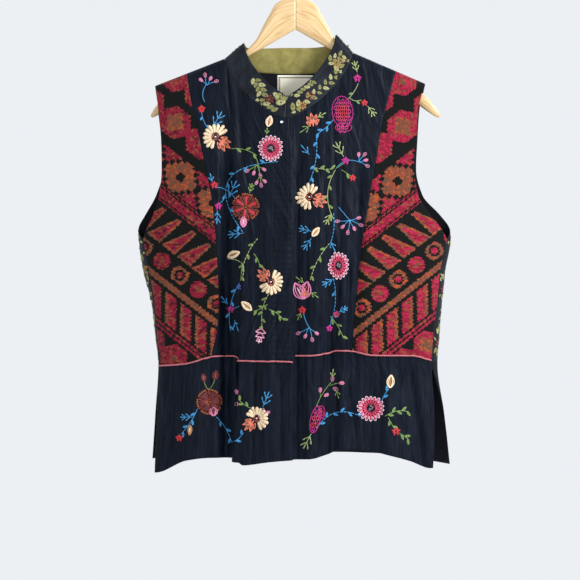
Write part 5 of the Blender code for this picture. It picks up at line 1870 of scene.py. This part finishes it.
def stitch_tree():
    """Lays one strand on each point, turned and sized by what the point carries."""
    tree = bpy.data.node_groups.new("laid_stitches", "GeometryNodeTree")
    for label, kind in (("Stitches", "NodeSocketGeometry"), ("Strand Sides", "NodeSocketInt"),
                        ("Strand Rings", "NodeSocketInt"), ("Thread", "NodeSocketMaterial")):
        tree.interface.new_socket(label, in_out="INPUT", socket_type=kind)
    tree.interface.new_socket("Sewn", in_out="OUTPUT", socket_type="NodeSocketGeometry")
    given = add(tree, "NodeGroupInput").outputs
    strand = add(tree, "GeometryNodeMeshUVSphere", None,
                 {"Segments": given["Strand Sides"], "Rings": given["Strand Rings"], "Radius": 1.0})
    carried = {
        label: add(tree, "GeometryNodeInputNamedAttribute", {"data_type": "FLOAT_VECTOR"},
                   {"Name": label}).outputs["Attribute"]
        for label in ("along", "up", "size")
    }
    lying = add(tree, "FunctionNodeAlignRotationToVector", {"axis": "Z"},
                {"Vector": carried["along"]})
    facing_out = add(tree, "FunctionNodeAlignRotationToVector", {"axis": "X", "pivot_axis": "Z"},
                     {"Rotation": lying.outputs["Rotation"], "Vector": carried["up"]})
    laid = add(tree, "GeometryNodeInstanceOnPoints", None,
               {"Points": given["Stitches"], "Instance": strand.outputs["Mesh"],
                "Rotation": facing_out.outputs["Rotation"], "Scale": carried["size"]})
    real = add(tree, "GeometryNodeRealizeInstances", None, {"Geometry": laid.outputs["Instances"]})
    round_off = add(tree, "GeometryNodeSetShadeSmooth", None,
                    {"Geometry": real.outputs["Geometry"]})
    dyed = add(tree, "GeometryNodeSetMaterial", None,
               {"Geometry": round_off.outputs["Geometry"], "Material": given["Thread"]})
    add(tree, "NodeGroupOutput", None, {"Sewn": dyed.outputs["Geometry"]})
    return tree


STITCH_TREE = stitch_tree()
Laid = namedtuple("Laid", "place along up size thread")


def sewn(name, laid, sides=6, rings=4):
    """One mesh of stitches from where each lies, through the Geometry Nodes tree."""
    mesh = bpy.data.meshes.new(name)
    mesh.vertices.add(len(laid))
    mesh.vertices.foreach_set("co", np.array([one.place for one in laid], dtype=np.float32).ravel())
    for label in ("along", "up", "size"):
        kept = mesh.attributes.new(label, "FLOAT_VECTOR", "POINT")
        values = np.array([getattr(one, label) for one in laid], dtype=np.float32)
        kept.data.foreach_set("vector", values.ravel())
    threads = [THREAD_NAMES.index(one.thread) / len(THREADS) for one in laid]
    mesh.attributes.new("thread", "FLOAT", "POINT").data.foreach_set("value", threads)
    obj = bpy.data.objects.new(name, mesh)
    SCENE.collection.objects.link(obj)
    modifier = obj.modifiers.new("sewing", "NODES")
    modifier.node_group = STITCH_TREE
    for item in STITCH_TREE.interface.items_tree:
        if item.in_out == "INPUT" and item.socket_type != "NodeSocketGeometry":
            modifier[item.identifier] = {
                "Strand Sides": sides, "Strand Rings": rings, "Thread": THREAD}[item.name]
    graph = bpy.context.evaluated_depsgraph_get()
    made = bpy.data.meshes.new_from_object(
        obj.evaluated_get(graph), preserve_all_data_layers=True, depsgraph=graph)
    obj.modifiers.clear()
    obj.data = made
    made.name = name
    for label in ("along", "up", "size"):
        if label in made.attributes:
            made.attributes.remove(made.attributes[label])
    return obj


def face_tree(grid):
    """The face side of a panel, to find where a stitch from the front meets it."""
    points = grid.points + grid.outs * CLOTH / 2
    rows, count = points.shape[:2]
    index = np.arange(rows * count).reshape(rows, count)
    quads = np.stack((index[:-1, :-1], index[1:, :-1], index[1:, 1:], index[:-1, 1:]), axis=-1)
    return BVHTree.FromPolygons(points.reshape(-1, 3).tolist(), quads.reshape(-1, 4).tolist())


STRAND_HEIGHT = 0.00034
MOST_STEP = 0.006
MOST_BEND = 0.00022
SHORTEST_HALVED = 2.2
FARTHEST_OFF = 1.9


def met(tree, point):
    """Where a line straight back from a point of the plan meets the cloth, and its outward way."""
    x, z = (point.real - PLAN_MIDDLE) * UNIT, -PLAN_TOP - point.imag * UNIT
    place, normal, _, _ = tree.ray_cast(Vector((x, -1.0, z)), Vector((0, 1, 0)))
    return None if place is None else (place, normal if normal.y < 0 else -normal)


def lay(stitches, sheets):
    """Drops stitches from the plan onto whichever of the panels they meet first. One that
    would float or sink where the cloth bends is made as two shorter ones."""
    laid = {name: [] for name in sheets}
    waiting = [(stitch, 0) for stitch in reversed(stitches)]
    while waiting:
        stitch, halvings = waiting.pop()
        middle = (stitch.start + stitch.end) / 2
        best = None
        for name, tree in sheets.items():
            found = [met(tree, p) for p in (stitch.start, middle, stitch.end)]
            if None not in found and abs(found[0][0].y - found[2][0].y) < MOST_STEP:
                if best is None or found[1][0].y < best[1][1][0].y:
                    best = (name, found)
        bent = best is None
        if not bent:
            (a, _), (m, up), (b, _) = best[1]
            bent = (m - (a + b) / 2).length > MOST_BEND
        if bent and halvings < 2 and abs(stitch.end - stitch.start) > SHORTEST_HALVED:
            lap = (stitch.end - stitch.start) * 0.08
            waiting += [(stitch._replace(start=middle - lap), halvings + 1),
                        (stitch._replace(end=middle + lap), halvings + 1)]
            continue
        if best is None:
            continue
        length = (b - a).length / 2 + 0.0003
        wide = stitch.width * UNIT / 2
        high = min(STRAND_HEIGHT * (0.7 + 0.5 * stitch.width), 0.00075)
        place = (a + b + 2 * m) / 4 + up * high * 0.35
        laid[best[0]].append(Laid(place, (b - a).normalized(), up, (high, wide, length),
                                  stitch.thread))
    return laid


def embroider(stitches, panels):
    """Sews a list of stitches on a bodice front and its skirt, one mesh on each."""
    laid = lay(stitches, {name: face_tree(grid) for name, (grid, _) in panels.items()})
    for name, (_, sheet) in panels.items():
        obj = settle(sewn("embroidery_" + name, laid[name]), "silk")
        sheet.on_it.append(obj)


embroider(left_embroidery() + seam_stitches(), {
    "front_left": (FRONT_LEFT_GRID, front_left), "skirt_left": (SKIRT_LEFT_GRID, skirt_left)})
embroider(right_embroidery(), {
    "front_right": (FRONT_RIGHT_GRID, front_right), "skirt_right": (SKIRT_RIGHT_GRID, skirt_right)})

# ---------------------------------------------------------------------------------------
# Brocade: raised leaves and flowers on the collar and the side backs
# ---------------------------------------------------------------------------------------


def brocade_leaf(at, turn, size, thread="olive", wide=0.50):
    """A woven leaf: bowed floats from its foot to its point, with a narrow rib left open."""
    spine, across = way(turn), way(turn + 90)
    made = []
    for bow in (-1.0, -0.45, 0.45, 1.0):
        foot = at + spine * size * (0.16 * (1 - abs(bow))) + across * bow * 0.3
        middle = at + spine * size * 0.46 + across * size * wide * 0.40 * bow
        made += [Stitch(foot, middle + spine * 0.4, size * 0.20, thread),
                 Stitch(middle - spine * 0.4, at + spine * size * (1.0 - 0.10 * abs(bow)),
                        size * 0.20, thread)]
    return made


def brocade_flower(heart, size, thread, turn=0, petals=6):
    """Plain floats for petals round a gold knot."""
    made = [ray(heart, turn + 360 * k / petals, size, 0.22, 1.0, size * 0.62, thread)
            for k in range(petals)]
    return made + [Stitch(heart - size * 0.16, heart + size * 0.16, size * 0.4, "gold")]


def brocade_spray(heart, turn, seed=0, big="burgundy"):
    """A flower with leaves to each side and a smaller flower beyond, about 40 mm long."""
    made = brocade_flower(heart, 5.2, big, turn)
    small = heart + way(turn) * 14
    made += brocade_flower(small, 3.4, "gold" if seed % 2 else "pale_olive", turn, 5)
    for k, (out, lean, size) in enumerate((
            (5, -62, 8.5), (5, 62, 8.5), (6, -112, 7.5), (6, 118, 7.5), (6, 176, 9.0),
            (5, -152, 7.0), (9, -24, 7.0), (9, 26, 7.0), (15, -8, 5.5), (16, 60, 5.0),
            (16, -66, 5.0))):
        wobble = 14 * (float(chance(k, seed, 7)) - 0.5)
        made += brocade_leaf(heart + way(turn + lean * (0.4 if out > 8 else 1.0)) * out,
                             turn + lean + wobble, size, "pale_olive" if k % 3 == 0 else "olive")
    return made


def scroll(start, end, bow, leaves, size):
    """Brocade leaves to each side in turn of a bowed line."""
    made = []
    for k in range(leaves):
        at, turn = bowed(start, end, bow, (k + 0.5) / leaves)
        long = size * (0.85 + 0.3 * float(chance(k, leaves, 9)))
        made += brocade_leaf(at, turn + 50 * (-1) ** k, long,
                             "olive" if k % 3 else "pale_olive", 0.62)
    return made


def collar_figures():
    """Scrolls of leaves and small flowers to each side of the opening."""
    made = [
        *scroll(253 + 78j, 262 + 96j, 0.06, 8, 7.5), *scroll(257 + 98j, 272 + 113j, -0.06, 8, 7.5),
        *scroll(272 + 94j, 287 + 98j, 0.10, 6, 7.5), *scroll(275 + 106j, 286 + 97j, 0.10, 5, 10),
        *scroll(290 + 116j, 299 + 108j, 0.05, 4, 10), *scroll(293 + 98j, 312 + 82j, 0.06, 11, 6.5),
        *scroll(302 + 103j, 342 + 68j, -0.05, 14, 7.0), *scroll(327 + 65j, 343 + 56j, 0.08, 7, 6.5),
        *scroll(332 + 67j, 347 + 60j, -0.12, 5, 7.0),
    ]
    for heart, size, thread in ((269 + 101j, 5.4, "burgundy"), (310 + 97j, 5.4, "burgundy"),
                                (302 + 107j, 4.6, "gold"), (337 + 64j, 5.4, "gold"),
                                (342 + 61j, 3.6, "burgundy")):
        made += brocade_flower(heart, size, thread, 20, 7)
    return made


def on_panel(stitches, grid, flat, allowed=True):
    """Lays raised strands on a panel. flat gives each of its points' place on a flat plan,
    and a strand that would pass the panel's edge is left out."""
    points = grid.points + grid.outs * CLOTH / 2
    rows, count = points.shape[:2]
    places = np.where(allowed, flat, 1e6).ravel()
    laid = []
    for stitch in stitches:
        middle = (stitch.start + stitch.end) / 2
        off = [abs(places - p) for p in (stitch.start, stitch.end, middle)]
        near = [divmod(int(np.argmin(one)), count) for one in off]
        if max(float(one.min()) for one in off) > FARTHEST_OFF or not all(
                0 < i < rows - 1 and 0 < j < count - 1 for i, j in near):
            continue
        i, j = near[2]
        # The plan's two directions on the cloth, from the neighbouring points
        d_plan = np.array((flat[i, j + 1] - flat[i, j - 1], flat[i + 1, j] - flat[i - 1, j]))
        d_cloth = np.array(
            (points[i, j + 1] - points[i, j - 1], points[i + 1, j] - points[i - 1, j]))
        across, down = d_plan
        turned_by = (across.conjugate() * down).imag
        if abs(turned_by) < 1e-3:
            continue

        def steps(gap):
            both = (gap.conjugate() * down).imag, (across.conjugate() * gap).imag
            return np.array(both) / turned_by

        run = steps(stitch.end - stitch.start) @ d_cloth
        length = float(np.linalg.norm(run))
        if not 0.0003 < length < 0.02:
            continue
        up = grid.outs[i, j]
        place = points[i, j] + steps(middle - flat[i, j]) @ d_cloth + up * 0.0001
        laid.append(Laid(Vector(place), Vector(run / length), Vector(up),
                         (0.00045, stitch.width * UNIT / 2, length / 2 + 0.0002), stitch.thread))
    return laid


def cloth_plan(grid):
    """A panel's own flat plan, measured along the cloth in the same units."""
    return arc_lengths(grid.points, 1) / UNIT + 1j * arc_lengths(grid.points, 0) / UNIT


SPRAY_FIRST, SPRAY_APART, SPRAY_ROWS_APART = 8 + 10j, 34, 27


def all_over(width, height, seed):
    """Sprays in staggered rows, turned this way and that."""
    made = []
    for row, y in enumerate(range(int(SPRAY_FIRST.imag), height, SPRAY_ROWS_APART)):
        first = int(SPRAY_FIRST.real) + (SPRAY_APART // 2 if row % 2 else 0)
        for x in range(first, width, SPRAY_APART):
            turn = 360 * float(chance(row, x, seed))
            made += brocade_spray(complex(x, y), turn, row + x, ("burgundy", "gold")[row % 2])
    return made


def brocade_figures(name, laid, sheet):
    obj = settle(sewn("brocade_figures_" + name, laid, 4, 3), "brocade")
    sheet.on_it.append(obj)


def collar_brocade():
    """The front of the collar follows the plan, and its back has sprays of the same kind."""
    facing_us = COLLAR_GRID.outs[..., 1] < -0.10
    laid = on_panel(collar_figures(), COLLAR_GRID, plan(COLLAR_GRID.points), facing_us)
    flat = cloth_plan(COLLAR_GRID)
    sprays = []
    for k, along_it in enumerate(range(12, 300, SPRAY_ROWS_APART)):
        sprays += brocade_spray(complex(along_it, 13 + 3 * (-1) ** k), 80 + 50 * (-1) ** k, k,
                                ("burgundy", "gold")[k % 2])
    return laid + on_panel(sprays, COLLAR_GRID, flat, ~facing_us)


brocade_figures("collar", collar_brocade(), collar)
for name, grid, sheet, seed in (("back_left", BACK_LEFT_GRID, back_left, 3),
                                ("back_right", BACK_RIGHT_GRID, back_right, 8)):
    brocade_figures(name, on_panel(all_over(105, 310, seed), grid, cloth_plan(grid)), sheet)


# ---------------------------------------------------------------------------------------
# Piping, button and hanger
# ---------------------------------------------------------------------------------------


def piping(name, node, lines, waist, lift=no_lift, beyond=None):
    """The salmon cord let into the waist seam, on the outside of the cloth."""
    z = where(lines, waist, *WAIST_BETWEEN)
    angle = lines[0](z)
    off = CLOTH / 2 + SEAM_GAP + PIPING_RADIUS * 0.9
    points = body(angle, z, lift(angle, z)) + outward(angle, z, lift) * off
    if beyond is not None:
        points = points[points[:, 0] > beyond]
    return settle(tube(name, points, PIPING_RADIUS, 10, PIPING), "piping", node)


across_left = columns(inset(FRONT_LEFT_SIDE, 0.002), 60, even, *left_front_parts(FRONT_LEFT_SEAM))
across_right = columns(
    *right_front_parts(FRONT_RIGHT_SEAM), 60, even, inset(FRONT_RIGHT_SIDE, -0.002))
piping("piping_left", "waist_piping_left", across_left, LEFT_WAIST, lap_lift)
piping("piping_right", "waist_piping_right", across_right, RIGHT_WAIST, beyond=-0.002)


def snap_button():
    """A small pressed button: a raised rim round a shallow dish."""
    x, z = (np.array([v]) for v in BUTTON_AT)
    angle = loop_angle(x, z)
    out = outward(angle, z, lap_lift)[0]
    base = body(angle, z, lap_lift(angle, z))[0] + out * (CLOTH / 2 + SEAM_GAP)
    across = unit(np.cross(out, (0.0, 0.0, 1.0)))
    other = np.cross(out, across)
    profile = ((0.80, 0.0), (0.96, 0.12), (1.0, 0.34), (0.97, 0.62), (0.86, 0.86), (0.72, 0.94),
               (0.58, 0.88), (0.42, 0.66), (0.20, 0.60))
    a = 2 * math.pi * np.arange(24) / 24
    spokes = np.cos(a)[:, None] * across + np.sin(a)[:, None] * other
    rings = np.array([base + spokes * wide * BUTTON_RADIUS + out * high * BUTTON_HEIGHT
                      for wide, high in profile])
    return settle(lathe("snap_button", rings, np.arange(len(profile)) * 0.0004, BUTTON_METAL),
                  "button", "neck_button")


def hanger_arm(name, node, side):
    """One half of the hanger, shaped from the joint in the crown to its tip."""
    sides, stations = 36, 110
    share = np.arange(stations + 1) / stations
    x = HANGER_ARM[-1].x * (1 - (1 - share) ** 1.25)
    top, bottom = (read(HANGER_ARM, edge, x, "x") for edge in ("top", "bottom"))
    tip = 1 - 0.45 * ease((x - 0.205) / 0.0165)
    a = 2 * math.pi * (np.arange(sides) + 0.5) / sides
    cos, sin = np.cos(a), np.sin(a)
    power = HANGER_SQUARENESS
    size = (np.abs(cos) ** power + np.abs(sin) ** power) ** (-1 / power)
    y = HANGER_HALF_THICKNESS * tip[:, None] * (cos * size)[None, :]
    z = ((top + bottom) / 2)[:, None] + ((top - bottom) / 2)[:, None] * (sin * size)[None, :]
    rings = np.stack(np.broadcast_arrays(
        (side * np.maximum(x, HANGER_JOINT_GAP / 2))[:, None], y, z), axis=-1)
    if side < 0:
        rings = rings[:, ::-1]
    return settle(lathe(name, rings, x * 1.2, WOOD), "wood", node)


def hook_wire():
    centre = np.array((0, 0, HOOK_WIRE_RADIUS - HOOK_BEND_RADIUS))
    a = np.radians(np.linspace(HOOK_BEND_STARTS, HOOK_BEND_ENDS, 81))
    bend = centre + HOOK_BEND_RADIUS * np.stack((np.cos(a), 0 * a, np.sin(a)), axis=-1)
    foot = np.array((0, 0, HANGER_ARM[0].top + SEAM_GAP))
    knee = np.array((0, 0, HOOK_STEM_TOP_Z))
    coming = unit(bend[1] - bend[0])
    reach = np.linalg.norm(bend[0] - knee) * 0.55
    q = (np.arange(16) / 16)[:, None]
    b, c = knee + np.array((0, 0, reach)), bend[0] - coming * reach
    stem = knee * (1 - q) ** 3 + b * 3 * q * (1 - q) ** 2 + c * 3 * q**2 * (1 - q) + bend[0] * q**3
    points = np.concatenate((foot[None], mix(foot, knee, 0.5)[None], stem, bend))
    return settle(
        tube("hook_wire", points, HOOK_WIRE_RADIUS, 16, HOOK_STEEL), "hook", "hanger_hook")


snap_button()
hanger_arm("hanger_left_beech", "hanger_left", -1)
hanger_arm("hanger_right_beech", "hanger_right", 1)
hook_wire()

# ---------------------------------------------------------------------------------------
# Camera, lights and floor
# ---------------------------------------------------------------------------------------

for sheet in SHEETS:
    wide, long, area = sheet.size
    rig.sheet(sheet.piece, flat=(wide, long), held="hung", rests_on=sheet.rests_on, area=area,
             with_pieces=sheet.on_it)

CAMERA_AWAY, HALF_VIEW, SENSOR = 5.0, 0.4437, 36.0
camera_data = bpy.data.cameras.new("camera")
camera_data.sensor_width = SENSOR
camera_data.lens = SENSOR / 2 / (HALF_VIEW / CAMERA_AWAY)
camera = bpy.data.objects.new("camera", camera_data)
camera.location = (-0.0084, -CAMERA_AWAY, -0.5133)
camera.rotation_euler = (math.radians(90), 0, 0)
SCENE.collection.objects.link(camera)
SCENE.camera = camera


LIT_POINT = Vector((0, 0, -0.45))


def softbox(name, place, size, power, colour):
    data = bpy.data.lights.new(name, "AREA")
    data.shape = "DISK"
    data.size = size
    data.energy = power
    data.color = ink(colour)[:3]
    lamp = bpy.data.objects.new(name, data)
    lamp.location = place
    lamp.rotation_euler = (LIT_POINT - Vector(place)).to_track_quat("-Z", "Y").to_euler()
    SCENE.collection.objects.link(lamp)


SCENE.view_settings.view_transform = "Standard"
softbox("key_light", (1.45, -0.95, 0.35), 0.5, 36, "#fbfcff")
softbox("fill_light", (-1.6, -2.6, 0.3), 1.6, 6, "#e6eeff")
softbox("back_light", (0.6, 2.6, 0.8), 1.8, 26, "#ffffff")

world = bpy.data.worlds.new("pale_room")
world.use_nodes = True
room = world.node_tree.nodes["Background"]
room.inputs["Color"].default_value = ink("#f3f6fa")
room.inputs["Strength"].default_value = 0.94
SCENE.world = world


def floor_disc():
    sides, radius, z = 72, 3.0, -1.5
    a = 2 * math.pi * np.arange(sides) / sides
    rings = np.array([np.stack((r * np.cos(a), r * np.sin(a), z + 0 * a), axis=-1)
                      for r in np.linspace(0.1, radius, 8)])
    index = np.arange(rings.shape[0] * sides).reshape(-1, sides)
    turn = np.roll(index, -1, axis=1)
    quads = np.stack((index[:-1], index[1:], turn[1:], turn[:-1]), axis=-1).reshape(-1, 4)
    made, tree = material("pale_plaster_floor", Roughness=0.8)
    finished(made, ramp(tree, noise(tree, solid_place(tree), 6.0, 3.0),
                        ((0.3, "#d9dcdd"), (0.7, "#e3e6e7"))))
    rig.stage(mesh_object("floor", rings.reshape(-1, 3), quads, [made]))


floor_disc()

with open("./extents.json", "w") as size_file:
    json.dump({"cad": CAD_BOX, "scene": [list(corner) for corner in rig.bounds()]}, size_file)
